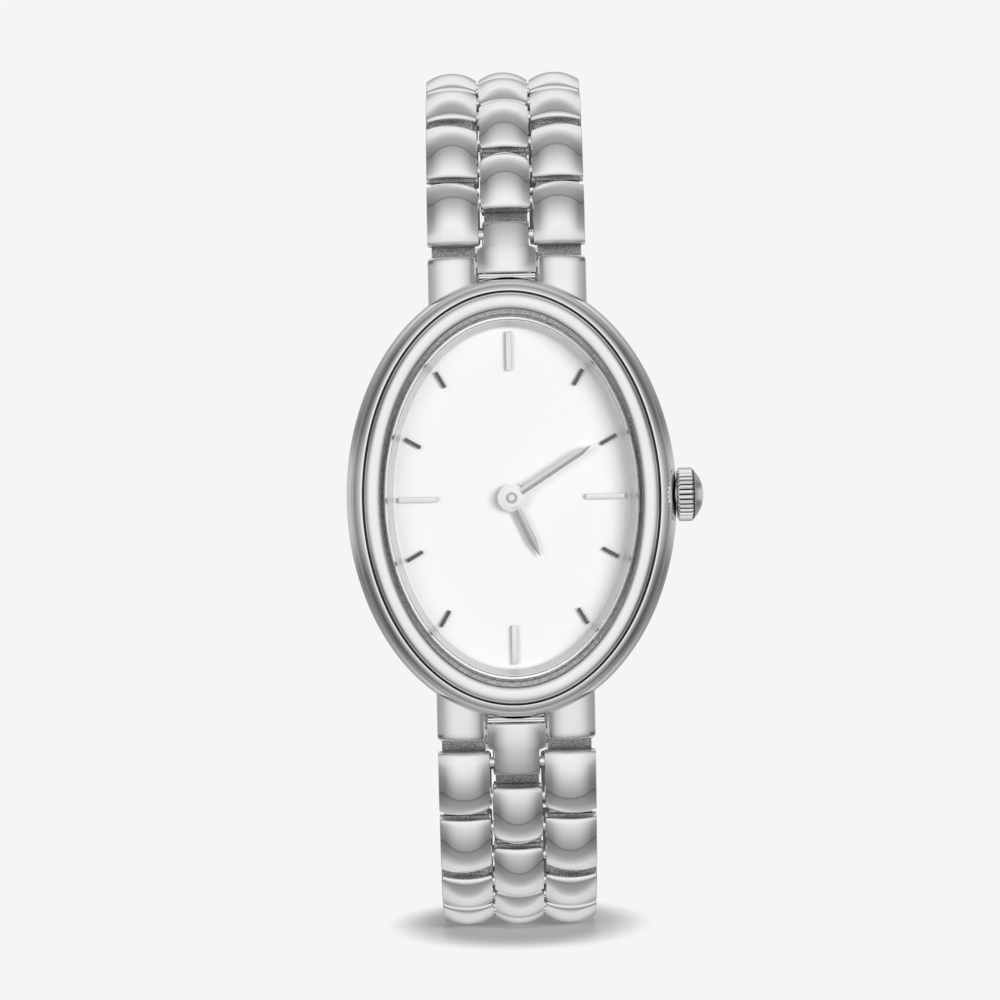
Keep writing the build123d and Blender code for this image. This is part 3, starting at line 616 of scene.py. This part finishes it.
class WATCH_OT_dial(bpy.types.Operator):
    """White oval dial and the sloping ring round it"""
    bl_idname = "watch.dial"
    bl_label = "Dial and flange"

    def execute(self, context):
        hole, foot = (dial_hole, dial_hole), dial_top - dial_thickness
        loops = [oval_loop(*half, dial_top) for half in (flange_outer, *dial_rings, hole)]
        bm = bmesh.new()
        join_loops(bm, [oval_loop(*flange_outer, foot), *loops, oval_loop(*hole, foot)], closed=True)
        finished("dial_plate", bm, ("white_lacquer",), "watch_head", "white_dial", "dial")
        bm = bmesh.new()
        loops = [oval_loop(*step) for step in flange_profile]
        loops += [oval_loop(*flange_outer, dial_top + flange_lift), oval_loop(*flange_outer, flange_top)]
        rows = join_loops(bm, loops, closed=True)
        mark_band(bm, rows[3:5], 1)  # the white step at the dial
        mark_band(bm, (rows[0], rows[-1]), 2)  # the bright top under the glass
        finished("dial_flange", bm, ("flange_lacquer", "white_lacquer", "marker_metal"),
                 "watch_head", "silver_flange", "flange_ring")
        return {"FINISHED"}


class WATCH_OT_markers(bpy.types.Operator):
    """Four quarter bars and eight small batons"""
    bl_idname = "watch.markers"
    bl_label = "Hour markers"

    def execute(self, context):
        opening = flange_profile[-1]
        for name, hours, kind, corner, height, inset, looks, source in marker_sets:
            length, width, gap = lengths(kind + "_length", kind + "_width", "marker_gap")
            bm = bmesh.new()
            for hour in hours:
                turn = math.pi / 6 * hour
                edge = 1 / math.hypot(math.sin(turn) / opening[0], math.cos(turn) / opening[1])
                self.marker(bm, length, width, corner, height, inset, turn, edge - gap - length / 2)
            bmesh.ops.recalc_face_normals(bm, faces=bm.faces)
            # painted shade: a marker's walls and bevels take its second finish, darker steel on the quarter
            # bars
            for face in bm.faces:
                face.material_index = 0 if abs(face.normal.y) > flat_normal else 1
            finished(name, bm, looks, "watch_head", "polished_markers", source)
        return {"FINISHED"}

    def marker(self, bm, length, width, corner, height, inset, turn, middle):
        """A bar with rounded ends and a bevelled top, pointing at the dial's middle."""
        outline = []
        for quarter, (sign_x, sign_y) in enumerate(((1, 1), (-1, 1), (-1, -1), (1, -1))):
            for step in range(marker_arcs + 1):
                angle = math.pi / 2 * (quarter + step / marker_arcs)
                outline.append((sign_x * (width / 2 - corner) + corner * math.cos(angle),
                                sign_y * (length / 2 - corner) + corner * math.sin(angle)))
        levels = [(0.0, 0.0)] + [(inset * inward, height - inset * down) for inward, down in marker_bevel]
        join_loops(bm, [[turned_at(x * (1 - 2 * tuck / width), y * (1 - 2 * tuck / length) + middle,
                                   dial_top + level, turn) for x, y in outline] for tuck, level in levels])


class WATCH_OT_hands(bpy.types.Operator):
    """Hour hand, minute hand, and the cap on the minute hand's arbor"""
    bl_idname = "watch.hands"
    bl_label = "Hands"

    def execute(self, context):
        for shape in hand_set:
            self.hand(*shape)
        bm = bmesh.new()
        turned(bm, arbor_profile)
        finished("arbor_cap", bm, ("marker_metal",), "minute_work", "polished_markers", "minute_arbor")
        return {"FINISHED"}

    def hand(self, name, reach_name, foot, width, hub, bore, angle, body, source):
        """A roofed baton with a pointed tip, on a bevelled hub."""
        turn = math.radians(angle)
        reach, = lengths(reach_name)
        shoulder = reach - width * hand_taper
        wall = hand_thickness - width / 2 * math.tan(math.radians(hand_slope))
        bm = bmesh.new()
        sections = []
        for along, half, ridge in ((hub * hand_root, width / 2, hand_thickness),
                                   (shoulder, width / 2, hand_thickness),
                                   (reach, hand_tip_half, hand_thickness * hand_tip_ridge)):
            rim = min(wall, ridge * hand_wall)
            outline = ((-half, 0.0), (half, 0.0), (half, rim), (0.0, ridge), (-half, rim))
            sections.append([turned_at(across, along, foot + rise, turn) for across, rise in outline])
        join_loops(bm, sections)
        # painted shade: the facet on one side of the ridge takes the darker steel and the other the bright
        # one
        for face in bm.faces:
            middle = face.calc_center_median()
            across = middle.x * math.cos(turn) - middle.z * math.sin(turn)
            face.material_index = 1 if across > hand_ridge_width * mm else 0
        top = foot + hand_thickness
        profile = [(hub, foot)] + [(hub - hub_bevel * inward, top - hub_bevel * down)
                                   for inward, down in hub_bevel_steps]
        profile += [(bore + hub_bevel, top), (bore, top - hub_bevel), (bore, foot)]
        turned(bm, profile, closed=True)
        finished(name, bm, ("hand_metal", "hand_satin"), body, "polished_markers", source, sharp=20.0)


class WATCH_OT_crown(bpy.types.Operator):
    """Fluted crown with a domed end"""
    bl_idname = "watch.crown"
    bl_label = "Crown"

    def execute(self, context):
        radius, = lengths("crown_radius")
        profile = [(along, reach, 0.0) for along, reach in crown_recess]
        profile += [(along, radius - inset, depth) for along, inset, depth in crown_rim]
        shoulder, inset, depth = crown_rim[-1]
        base = radius - inset
        curve = (base * base + crown_dome * crown_dome) / (2 * crown_dome)
        for step in range(1, dome_steps + 1):
            reach = max(dome_eye, base * math.cos(math.pi / 2 * step / dome_steps))
            rise = crown_dome - curve + math.sqrt(curve * curve - reach * reach)
            profile.append((shoulder + rise, reach, depth))
        count = crown_flutes * flute_steps
        loops = []
        for along, reach, depth in profile:
            loop = []
            for index in range(count):
                angle = 2 * math.pi * index / count
                crest = min(1.0, flute_width * abs(math.sin(crown_flutes * angle / 2)) ** flute_power)
                out = reach - depth * (1 - crest)
                loop.append(Vector((crown_start + along, -crown_height - out * math.cos(angle),
                                    out * math.sin(angle))) * mm)
            loops.append(loop)
        bm = bmesh.new()
        join_loops(bm, loops)
        for face in bm.faces:
            middle = face.calc_center_median() / mm
            along = middle.x - crown_start
            reach = math.hypot(middle.y + crown_height, middle.z)
            if along < crown_face:
                face.material_index = 1
            # painted shade: the deep parts of the flute grooves are darkened
            elif flute_shade_start < along < flute_shade_end and reach < radius - flute_shade_depth:
                face.material_index = 2
        finished("crown_piece", bm, ("polished_steel", "frosted_steel", "groove_steel"),
                 "crown_body", "polished_steel", "crown", sharp=25.0)
        return {"FINISHED"}


# ---------------------------------------------------------------- bracelet

hinges = {joint["name"]: Vector(joint["pos_m"]) for joint in frame["joints"] if joint["type"] == "hinge"}


def strand_pins(strand):
    """Places of a strand's pins, from the horns to the clasp."""
    steps = [f"hinge_{index}" for index in range(1, 2 * rows_per_strand + 1)]
    return [hinges[f"{strand}_{step}"] for step in ("end_hinge", *steps, "clasp_hinge")]


def pin_distance(index):
    """Distance along a link from its own pin to the next."""
    line = strand_pins("upper")
    return (line[index + 1] - line[index]).length / mm


def link_matrix(strand, index):
    """Places a link: its x across the strand, its y along it, its z away from the wrist."""
    line = strand_pins(strand)
    across = Vector((1.0 if strand == "upper" else -1.0, 0.0, 0.0))
    along = (line[index + 1] - line[index]).normalized()
    matrix = Matrix((across, along, across.cross(along))).transposed().to_4x4()
    matrix.translation = line[index]
    return matrix


def sole_height(near):
    """Height of a link's underside, bevelled towards its ends."""
    return -bead_heel - (bead_drop - bead_heel) * min(1.0, near / heel_bevel)


def roll_drop(near, roll):
    """How far a link's top rolls off at a distance from its end."""
    return roll * roll_depth * corner_tuck(1.0, 1 - near / roll)


def link_section(left, right, sole, top, fall, bevel, steps):
    """Outline across a link, with a cushioned top that falls to its bevelled sides."""
    middle, half = (left + right) / 2, (right - left) / 2
    side_top = top - fall
    wall = [(sole_bevel, sole), (0.0, sole + sole_bevel)]
    wall += [(bevel * inward, side_top - bevel * down) for inward, down in side_bevel]
    loop = [(left + inset, height) for inset, height in wall]
    for step in range(steps + 1):
        off = -1 + 2 * step / steps
        loop.append((middle + off * (half - bevel), top - cushion(off, half, fall)))
    return loop + [(right - inset, height) for inset, height in reversed(wall)]


def bead(bm, pitch, low, high, far_round, near_round):
    """A cushioned bead between two places across a link. Its far and its near corners are rounded in
    plan by the two radii given for each, at its low and its high side."""
    start, end = -near_overhang, pitch + far_overhang
    length = end - start
    crown, fall, bevel = lengths("bead_crown", "bead_fall", "bead_bevel")
    stations = [start + step for step in near_stations]
    stations += [start + heel_bevel + (length - 2 * heel_bevel) * step / bead_inner_steps
                 for step in range(1, bead_inner_steps)]
    stations += [end - step for step in (*far_stations, bevel, bevel * 0.5, 0.0)]
    loops = []
    for place in stations:
        share = (place - start) / length
        bulge = bead_bulge * (2 * share - 1)
        tucks = [corner_tuck(far, place - (end - far)) + corner_tuck(near, start + near - place)
                 for far, near in zip(far_round, near_round)]
        left, right = low + tucks[0] * corner_share, high - tucks[1] * corner_share
        middle, half = (left + right) / 2, (right - left) / 2
        roll = near_roll if place - start < end - place else bevel
        near = min(place - start, end - place)
        top = arc_height(place, start, end, bead_edge, crown) - roll_drop(near, roll)
        sag = fall * (end_sag + (1 - end_sag) * math.sin(math.pi * share) ** sag_power)
        outline = link_section(left, right, sole_height(near), top, sag, bevel, bead_top_steps)
        loops.append([on_link(x, place + bulge * (1 - ((x - middle) / half) ** 2), height)
                      for x, height in outline])
    join_loops(bm, loops)


def lip(bm, near, low, high, length):
    """A recessed tongue under a link's near end, seen in the gap between two beads."""
    loops = []
    for place, drop in ((near + lip_root, 0.0), (near - length + lip_bevel_length, 0.0),
                        (near - length, lip_bevel_height)):
        sole, top = lip_sole + drop, lip_top - drop
        loops.append([on_link(low, place, sole), on_link(high, place, sole),
                      on_link(high, place, top), on_link(low, place, top)])
    join_loops(bm, loops)


def pin_loop(across, along, radius):
    """A pin's round section, as places across, along and out from a link."""
    return [(across, along + radius * math.cos(2 * math.pi * index / pin_segments),
             radius * math.sin(2 * math.pi * index / pin_segments)) for index in range(pin_segments)]


def rod(bm, radius, half, place):
    """A pin or a cutter across a link."""
    join_loops(bm, [[on_link(*point) for point in pin_loop(across, place, radius)]
                    for across in (-half, half)])


def bored(mesh, places, half):
    """The mesh with round bores across it."""
    for place in places:
        bm = bmesh.new()
        rod(bm, bore_radius, half, place)
        mesh = modified(mesh, "BOOLEAN", mesh_from(bm), operation="DIFFERENCE", solver="EXACT")
    return mesh


def shaded_grained_ends(mesh, low, high):
    """Marks a link's two ends under its polished top for the darker grained finish, painted shade in the gaps
    between links, and its sole for its own.
    """
    for polygon in mesh.polygons:
        place, height = polygon.center.y / mm, polygon.center.z / mm
        near, facing = min(place - low, high - place), abs(polygon.normal.y)
        end = near < shaded_end_depth and height < bead_edge - shaded_end_below_edge and facing > end_normal
        heel = near < heel_bevel and height < -bead_heel and facing > heel_normal
        # painted shade: ends, heels and the lip in the gaps take the darker grained steel
        if end or heel or place < low - lip_start:
            polygon.material_index = 1
        elif polygon.normal.z < sole_normal:
            polygon.material_index = 2


def placed(name, template, strand, index, source):
    """Makes a copy of a link's template the piece of one link."""
    mesh = template.copy()
    mesh.transform(link_matrix(strand, index))
    dressed(name, mesh, ("polished_steel", "grained_steel", "sole_steel"), source + "_body",
            "polished_steel", source, sharp=22.0)


def strung(kind, noun, templates, step_back):
    """Places a kind of link in every row. The first row has a template of its own."""
    for strand in ("upper", "lower"):
        for row in range(1, rows_per_strand + 1):
            placed(f"{strand}_{kind}_{noun}_{row}", templates[min(row - 1, 1)], strand, 2 * row - step_back,
                   f"{strand}_{kind}_link_{row}")


class WATCH_OT_outer_links(bpy.types.Operator):
    """Pairs of outer beads on their cross pins"""
    bl_idname = "watch.outer_links"
    bl_label = "Outer links"

    def execute(self, context):
        pitch = pin_distance(1)
        templates = []
        for length in (first_lip, lip_length):
            bm = bmesh.new()
            near_round = (near_corner, near_corner)
            bead(bm, pitch, -bracelet_half, -slot_half, (outer_corner, outer_nose), near_round)
            bead(bm, pitch, slot_half, bracelet_half, (outer_nose, outer_corner), near_round)
            for place in (0.0, pitch):
                rod(bm, pin_radius, slot_half + pin_bury, place)
            low, high = slot_half + outer_lip_inset, bracelet_half - outer_lip_inset
            lip(bm, -near_overhang, -high, -low, length)
            lip(bm, -near_overhang, low, high, length)
            templates.append(mesh_from(bm))
            shaded_grained_ends(templates[-1], -near_overhang, pitch + far_overhang)
        strung("outer", "beads", templates, 1)
        return {"FINISHED"}


class WATCH_OT_centre_links(bpy.types.Operator):
    """Centre beads, bored for the pins"""
    bl_idname = "watch.centre_links"
    bl_label = "Centre links"

    def execute(self, context):
        pitch = pin_distance(2)
        bm = bmesh.new()
        bead(bm, pitch, -centre_half, centre_half, (centre_nose, centre_nose),
             (centre_near_corner, centre_near_corner))
        whole = mesh_from(bm)
        templates = []
        for length in (first_lip, lip_length):
            bm = opened(bored(whole, (0.0, pitch), slot_half))
            lip(bm, -near_overhang, -centre_half + centre_lip_inset, centre_half - centre_lip_inset, length)
            templates.append(mesh_from(bm))
            shaded_grained_ends(templates[-1], -near_overhang, pitch + far_overhang)
        strung("centre", "bead", templates, 0)
        return {"FINISHED"}


class WATCH_OT_end_links(bpy.types.Operator):
    """Waisted middle pieces between the horns"""
    bl_idname = "watch.end_links"
    bl_label = "End links"

    def execute(self, context):
        bevel, = lengths("bead_bevel")
        length = pin_distance(0)
        start, end = -end_base_overhang, length + nose_overhang
        flare = end_base_half - end_nose_half
        edge = (0.0, bevel * 0.5, bevel, end_edge_station, heel_bevel)
        stations = [start + step for step in edge] + [*end_root_stations, end_waist]
        stations += [end_waist + flare * step / end_flare_steps for step in range(1, end_flare_steps + 1)]
        stations += [*end_nose_stations] + [end - step for step in reversed(edge)]
        loops = []
        for place in stations:
            half = end_base_half - corner_tuck(flare, min(place - end_waist, flare))
            near = min(place - start, end - place)
            top = end_crown - end_radius + math.sqrt(end_radius ** 2 - (place - end_apex) ** 2)
            top -= roll_drop(near, bevel)
            fall = end_fall * (half / end_base_half) ** 2
            outline = link_section(-half, half, sole_height(near), top, fall, bevel, end_top_steps)
            loops.append([on_link(x, place, height) for x, height in outline])
        bm = bmesh.new()
        join_loops(bm, loops)
        bm = opened(bored(mesh_from(bm), (0.0, length), end_base_half + bore_beyond))
        lip(bm, start, -end_base_half + end_lip_inset, end_base_half - end_lip_inset, end_lip)
        template = mesh_from(bm)
        shaded_grained_ends(template, start, end)
        for strand in ("upper", "lower"):
            placed(f"{strand}_end_piece", template, strand, 0, f"{strand}_end_link")
        return {"FINISHED"}


# ---------------------------------------------------------------- clasp

class ClaspArc:
    """The arc that both halves of the clasp lie on, worked out from the two clasp pins."""

    def __init__(self):
        line = strand_pins("upper")
        along = line[-1] - line[-2]
        lean = math.degrees(math.atan2(along.y, along.z)) % 360
        angle = math.radians(180 - lean - clasp_last_bend)
        self.radius = line[-1].z / mm / math.sin(angle)
        self.centre = self.radius * math.cos(angle) - line[-1].y / mm
        self.pin = self.radius * angle

    def along(self, z):
        """Distance along the arc from its middle to a height on the dial's plane."""
        return self.radius * math.asin(z / self.radius)

    def bend(self, point):
        """A flat point (across, along, outwards) on the arc."""
        angle = point[1] / self.radius
        reach = self.radius + point[2]
        return on_link(point[0], reach * math.cos(angle) - self.centre, reach * math.sin(angle))


def flat_plate(outline, low, high):
    """A plate with the given outline, in flat millimetres."""
    bm = bmesh.new()
    face = bm.faces.new([bm.verts.new((x, y, low)) for x, y in outline])
    grown = bmesh.ops.extrude_face_region(bm, geom=[face])
    for item in grown["geom"]:
        if isinstance(item, bmesh.types.BMVert):
            item.co.z = high
    return mesh_from(bm)


def side_block(way, low, high, place, slack=0.0):
    """A block as long and high as a button, at one side of the clasp, in flat millimetres."""
    start, end = place - button_size[1] / 2 - slack, place + button_size[1] / 2 + slack
    outline = [(way * low, start), (way * high, start), (way * high, end), (way * low, end)]
    return flat_plate(outline, -button_size[2] / 2 - slack, button_size[2] / 2 + slack)


def bevelled(mesh, width, segments):
    """The mesh with its hard edges rounded."""
    return modified(mesh, "BEVEL", width=width, segments=segments, limit_method="ANGLE")


def cut_across(bm, place, normal):
    """Adds edges where a plane crosses a bmesh."""
    geometry = bm.verts[:] + bm.edges[:] + bm.faces[:]
    bmesh.ops.bisect_plane(bm, geom=geometry, plane_co=place, plane_no=normal)


def bent(mesh, arc, sag=0.0):
    """Cuts a flat mesh across at even steps and lays it on the arc."""
    bm = opened(mesh)
    low = min(vertex.co.y for vertex in bm.verts)
    high = max(vertex.co.y for vertex in bm.verts)
    for index in range(1, int((high - low) / bend_step)):
        cut_across(bm, (0, low + index * bend_step, 0), (0, 1, 0))
    for x in clasp_cuts:
        cut_across(bm, (x, 0, 0), (1, 0, 0))
    for vertex in bm.verts:
        x, y, z = vertex.co
        if z > 0:
            z -= sag * (x / bracelet_half) ** 2 * z / clasp_rise
        vertex.co = arc.bend((x, y, z))
    return mesh_from(bm)


class WATCH_OT_clasp(bpy.types.Operator):
    """Both halves of the clasp and its two push buttons"""
    bl_idname = "watch.clasp"
    bl_label = "Clasp"

    def execute(self, context):
        arc = ClaspArc()
        ear, ear_root = arc.pin + ear_overhang, arc.pin - ear_overhang - ear_gap
        mouth, crotch, place = arc.along(fork_mouth), arc.along(fork_crotch), arc.along(button_place)
        wide, slot, arm = bracelet_half, slot_half, tongue_half + tongue_side_gap
        shoulder, tip = mouth - clasp_gap, crotch - clasp_gap
        fork = [(arm, mouth), (wide, mouth), (wide, ear), (slot, ear), (slot, ear_root), (-slot, ear_root),
                (-slot, ear), (-wide, ear), (-wide, mouth), (-arm, mouth), (-arm, crotch), (arm, crotch)]
        tongue = [(-wide, -ear), (-slot, -ear), (-slot, -ear_root), (slot, -ear_root), (slot, -ear),
                  (wide, -ear), (wide, shoulder), (tongue_half, shoulder), (tongue_half, tip),
                  (-tongue_half, tip), (-tongue_half, shoulder), (-wide, shoulder)]
        button_out = wide + button_stand
        button_in = button_out - button_size[0]
        for half, outline, side in (("fork", fork, 1), ("tongue", tongue, -1)):
            mesh = bevelled(flat_plate(outline, -clasp_drop, clasp_rise), clasp_bevel, 3)
            if half == "fork":
                for way in (1, -1):
                    pocket = side_block(way, button_in - pocket_depth, wide + pocket_beyond, place,
                                        pocket_slack)
                    mesh = modified(mesh, "BOOLEAN", pocket, operation="DIFFERENCE", solver="EXACT")
            bm = opened(bent(mesh, arc, clasp_sag))
            join_loops(bm, [[arc.bend(point) for point in pin_loop(across, side * arc.pin, pin_radius)]
                            for across in (-slot - pin_bury, slot + pin_bury)])
            finished(f"clasp_{half}_half", bm, ("polished_steel",), f"clasp_{half}_body", "polished_steel",
                     f"clasp_{half}", sharp=24.0, weighted=True)
        for hand, way in (("right", 1), ("left", -1)):
            mesh = bent(bevelled(side_block(way, button_in, button_out, place), button_bevel, 4), arc)
            dressed(f"{hand}_button_piece", mesh, ("polished_edge",), f"{hand}_button_body", "polished_steel",
                    f"{hand}_release_button")
        return {"FINISHED"}


class WATCH_OT_inner_pieces(bpy.types.Operator):
    """Finishes for the pieces inside the case"""
    bl_idname = "watch.inner_pieces"
    bl_label = "Inner pieces"

    def execute(self, context):
        looks = {
            "back_gasket": "seal_rubber", "movement": "movement_metal", "power_cell": "cell_steel",
            "movement_holder": "holder_plastic", "crown_tube": "satin_steel", "spring_bars": "satin_steel",
            "hour_wheel": "brass_wheel", "sliding_pinion": "brass_wheel", "winding_stem": "satin_steel"}
        for name, look in looks.items():
            mesh = frame["nodes"][name].data
            mesh.materials.clear()
            mesh.materials.append(finish(look))
        return {"FINISHED"}


# ---------------------------------------------------------------- stage

# Tones of the studio by the angle in degrees from the camera's side: above and below, and to the sides
tall_rings = ((0, 0.98), (10, 1.0), (20, 0.94), (30, 0.83), (40, 0.7), (50, 0.58), (60, 0.47), (68.5, 0.42),
              (70, 0.27), (73, 0.27), (75, 0.36), (82, 0.39), (92, 0.45), (103, 0.67), (113, 0.92),
              (124, 0.88), (135, 0.85), (150, 0.6), (165, 0.38), (180, 0.3))
wide_rings = ((0, 1.0), (20, 1.0), (30, 0.9), (45, 0.75), (60, 0.55), (75, 0.4), (90, 0.3), (100, 0.28),
              (114, 0.5), (125, 0.6), (160, 0.64), (180, 0.5))
side_fall = ((0, 1.0), (16, 0.98), (23, 0.94), (31, 0.84), (38, 0.72), (46, 0.54), (55, 0.34), (75, 0.34),
             (90, 0.5))
wide_until, tall_from, tone_below = 5, 17, 0.82

# The floor is an oval round the foot, in metres, only as large as the shadow on it
floor_half, floor_middle, floor_segments, floor_grain, fade_start = (0.0105, 0.022), 0.014, 96, 0.002, 0.25

# Lamps: place from the watch's middle and width in metres, the power's name and a share of it
lamp_set = (("top_lamp", (0.0, -0.01, 0.34), 0.11, "key_power", 1.0),
            ("left_lamp", (-0.28, -0.36, 0.01), 0.26, "fill_power", 0.6),
            ("right_lamp", (0.28, -0.36, 0.05), 0.26, "fill_power", 1.4))

camera_roll, camera_across, camera_up, bezel_crest = 1.2, -0.844, -0.15, 5.55


class WATCH_OT_stage(bpy.types.Operator):
    """Floor, background, lamps and camera"""
    bl_idname = "watch.stage"
    bl_label = "Stage"

    def execute(self, context):
        stage = context.scene.watch_stage
        context.scene.view_settings.view_transform = "Standard"
        self.world(context, stage)
        self.floor(stage)
        self.lamps(stage)
        self.camera(context, stage)
        return {"FINISHED"}

    def world(self, context, stage):
        """A flat tone behind the watch, and soft panels at the front and sides for its gloss."""
        world = bpy.data.worlds.new("studio")
        context.scene.world = world
        world.use_nodes = True
        tree = world.node_tree
        tree.nodes.clear()
        way = node(tree, "TexCoord").outputs["Generated"]
        parts = node(tree, "SeparateXYZ", {"Vector": way}).outputs
        back = maths(tree, "MULTIPLY", parts["Y"], -1.0)
        rise = maths(tree, "ABSOLUTE", parts["Z"])
        width = maths(tree, "ABSOLUTE", parts["X"])
        whole = maths(tree, "ARCCOSINE", back)
        upward = maths(tree, "ARCTAN2", rise, back)
        sideward = maths(tree, "ARCSINE", width)
        steep = maths(tree, "ARCTAN2", rise, width)

        def rings(angle, stops, last=180):
            """Grey by an angle, given in degrees."""
            return ramp(tree, maths(tree, "DIVIDE", angle, math.radians(last)),
                        [(place / last, tone) for place, tone in stops])

        def painted(under, over, mask):
            """One tone laid over another by a mask."""
            made = node(tree, "Mix", {"Factor": mask, "A": under, "B": over}, data_type="FLOAT")
            return made.outputs["Result"]

        tall = maths(tree, "MULTIPLY", rings(upward, tall_rings), rings(sideward, side_fall, 90))
        mask = spread(tree, steep, math.radians(wide_until), math.radians(tall_from), 0.0, 1.0, True)
        tone = painted(rings(whole, wide_rings), tall, mask)
        tone = maths(tree, "MULTIPLY", tone, spread(tree, parts["Z"], -0.5, 0.5, tone_below, 1.0))
        light = node(tree, "LightPath").outputs
        direct = maths(tree, "LESS_THAN", light["Glossy Depth"], 0.5)
        through = maths(tree, "MULTIPLY", light["Is Transmission Ray"], direct)
        seen = maths(tree, "MAXIMUM", light["Is Camera Ray"], through)
        tone = painted(tone, stage.ambient, light["Is Diffuse Ray"])
        tone = painted(tone, stage.background, seen)
        shader = node(tree, "Background", {"Color": tone, "Strength": 1.0})
        node(tree, "OutputWorld", {"Surface": shader.outputs[0]})

    def floor(self, stage):
        """A pale floor that keeps the watch's shadow near its foot and joins the background."""
        bm = bmesh.new()
        rim = []
        for index in range(floor_segments):
            angle = 2 * math.pi * index / floor_segments
            rim.append(bm.verts.new((floor_half[0] * math.cos(angle),
                                     floor_middle + floor_half[1] * math.sin(angle), cad_box[0].z)))
        bm.faces.new(rim)
        mesh = bpy.data.meshes.new("floor")
        bm.to_mesh(mesh)
        bm.free()
        floor = linked("floor", mesh)
        made, tree, place = new_material("floor_paper")
        mesh.materials.append(made)
        fibre = noise(tree, place, 60.0, 5.0)
        dark, pale = stage.floor * (1 - floor_grain), stage.floor * (1 + floor_grain)
        tone = ramp(tree, fibre, ((0.3, dark), (0.7, pale)))
        paper = node(tree, "BsdfDiffuse", {"Color": tone})
        parts = node(tree, "SeparateXYZ", {"Vector": place}).outputs
        across = maths(tree, "DIVIDE", parts["X"], floor_half[0])
        deep = maths(tree, "DIVIDE", maths(tree, "SUBTRACT", parts["Y"], floor_middle), floor_half[1])
        far = maths(tree, "ADD", maths(tree, "MULTIPLY", across, across), maths(tree, "MULTIPLY", deep, deep))
        fade = spread(tree, far, fade_start, 1.0, 0.0, 1.0, True)
        light = node(tree, "LightPath").outputs
        glow = node(tree, "Emission", {"Color": (1, 1, 1, 1), "Strength": stage.background})
        seen = maths(tree, "MULTIPLY", fade, light["Is Camera Ray"])
        shown = node(tree, "MixShader", {0: seen, 1: paper.outputs[0], 2: glow.outputs[0]})
        clear = node(tree, "BsdfTransparent")
        both = node(tree, "MixShader", {0: light["Is Glossy Ray"], 1: shown.outputs[0], 2: clear.outputs[0]})
        node(tree, "OutputMaterial", {"Surface": both.outputs[0]})

    def lamps(self, stage):
        """Round lamps above and in front, which light the watch and aren't mirrored in it."""
        middle = (cad_box[0] + cad_box[1]) / 2
        for name, place, size, power, share in lamp_set:
            data = bpy.data.lights.new(name, "AREA")
            data.shape = "DISK"
            data.size = size
            data.energy = getattr(stage, power) * share
            lamp = linked(name, data)
            lamp.location = middle + Vector(place)
            lamp.rotation_euler = (middle - lamp.location).to_track_quat("-Z", "Y").to_euler()
            lamp.visible_glossy = False
            lamp.visible_transmission = False

    def camera(self, context, stage):
        """Level with the watch and rolled a little, as in the photograph."""
        roll = math.radians(camera_roll)
        right = Vector((math.cos(roll), 0.0, -math.sin(roll)))
        up = Vector((math.sin(roll), 0.0, math.cos(roll)))
        data = bpy.data.cameras.new("camera")
        data.sensor_width = 36.0
        data.lens = stage.lens
        data.clip_start, data.clip_end = 0.01, 20.0
        camera = linked("camera", data)
        place = right * camera_across * mm + up * camera_up * mm
        place.y = -(bezel_crest * mm + stage.distance)
        camera.location = place
        camera.rotation_euler = (math.pi / 2, roll, 0.0)
        context.scene.camera = camera


# ---------------------------------------------------------------- add-on

operators = (WATCH_OT_stage, WATCH_OT_case, WATCH_OT_bezel, WATCH_OT_crystal, WATCH_OT_dial, WATCH_OT_markers,
             WATCH_OT_hands, WATCH_OT_crown, WATCH_OT_end_links, WATCH_OT_outer_links, WATCH_OT_centre_links,
             WATCH_OT_clasp, WATCH_OT_inner_pieces)


class WATCH_PT_panel(bpy.types.Panel):
    """Sizes, finishes and pieces of the watch"""
    bl_idname = "WATCH_PT_panel"
    bl_label = "Oval bracelet watch"
    bl_space_type = "VIEW_3D"
    bl_region_type = "UI"
    bl_category = "Watch"

    def draw(self, context):
        scene = context.scene
        for title, group in (("Sizes", scene.watch_sizes), ("Finishes", scene.watch_finishes),
                             ("Stage", scene.watch_stage)):
            box = self.layout.box()
            box.label(text=title)
            for name in group.__annotations__:
                box.prop(group, name)
        for operator in operators:
            self.layout.operator(operator.bl_idname)


classes = (WatchSizes, WatchFinishes, WatchStage) + operators + (WATCH_PT_panel,)


def register():
    for item in classes:
        bpy.utils.register_class(item)
    bpy.types.Scene.watch_sizes = PointerProperty(type=WatchSizes)
    bpy.types.Scene.watch_finishes = PointerProperty(type=WatchFinishes)
    bpy.types.Scene.watch_stage = PointerProperty(type=WatchStage)


def unregister():
    del bpy.types.Scene.watch_stage
    del bpy.types.Scene.watch_finishes
    del bpy.types.Scene.watch_sizes
    for item in reversed(classes):
        bpy.utils.unregister_class(item)


def main():
    register()
    for operator in operators:
        group, name = operator.bl_idname.split(".")
        getattr(getattr(bpy.ops, group), name)()


if __name__ == "__main__":
    main()
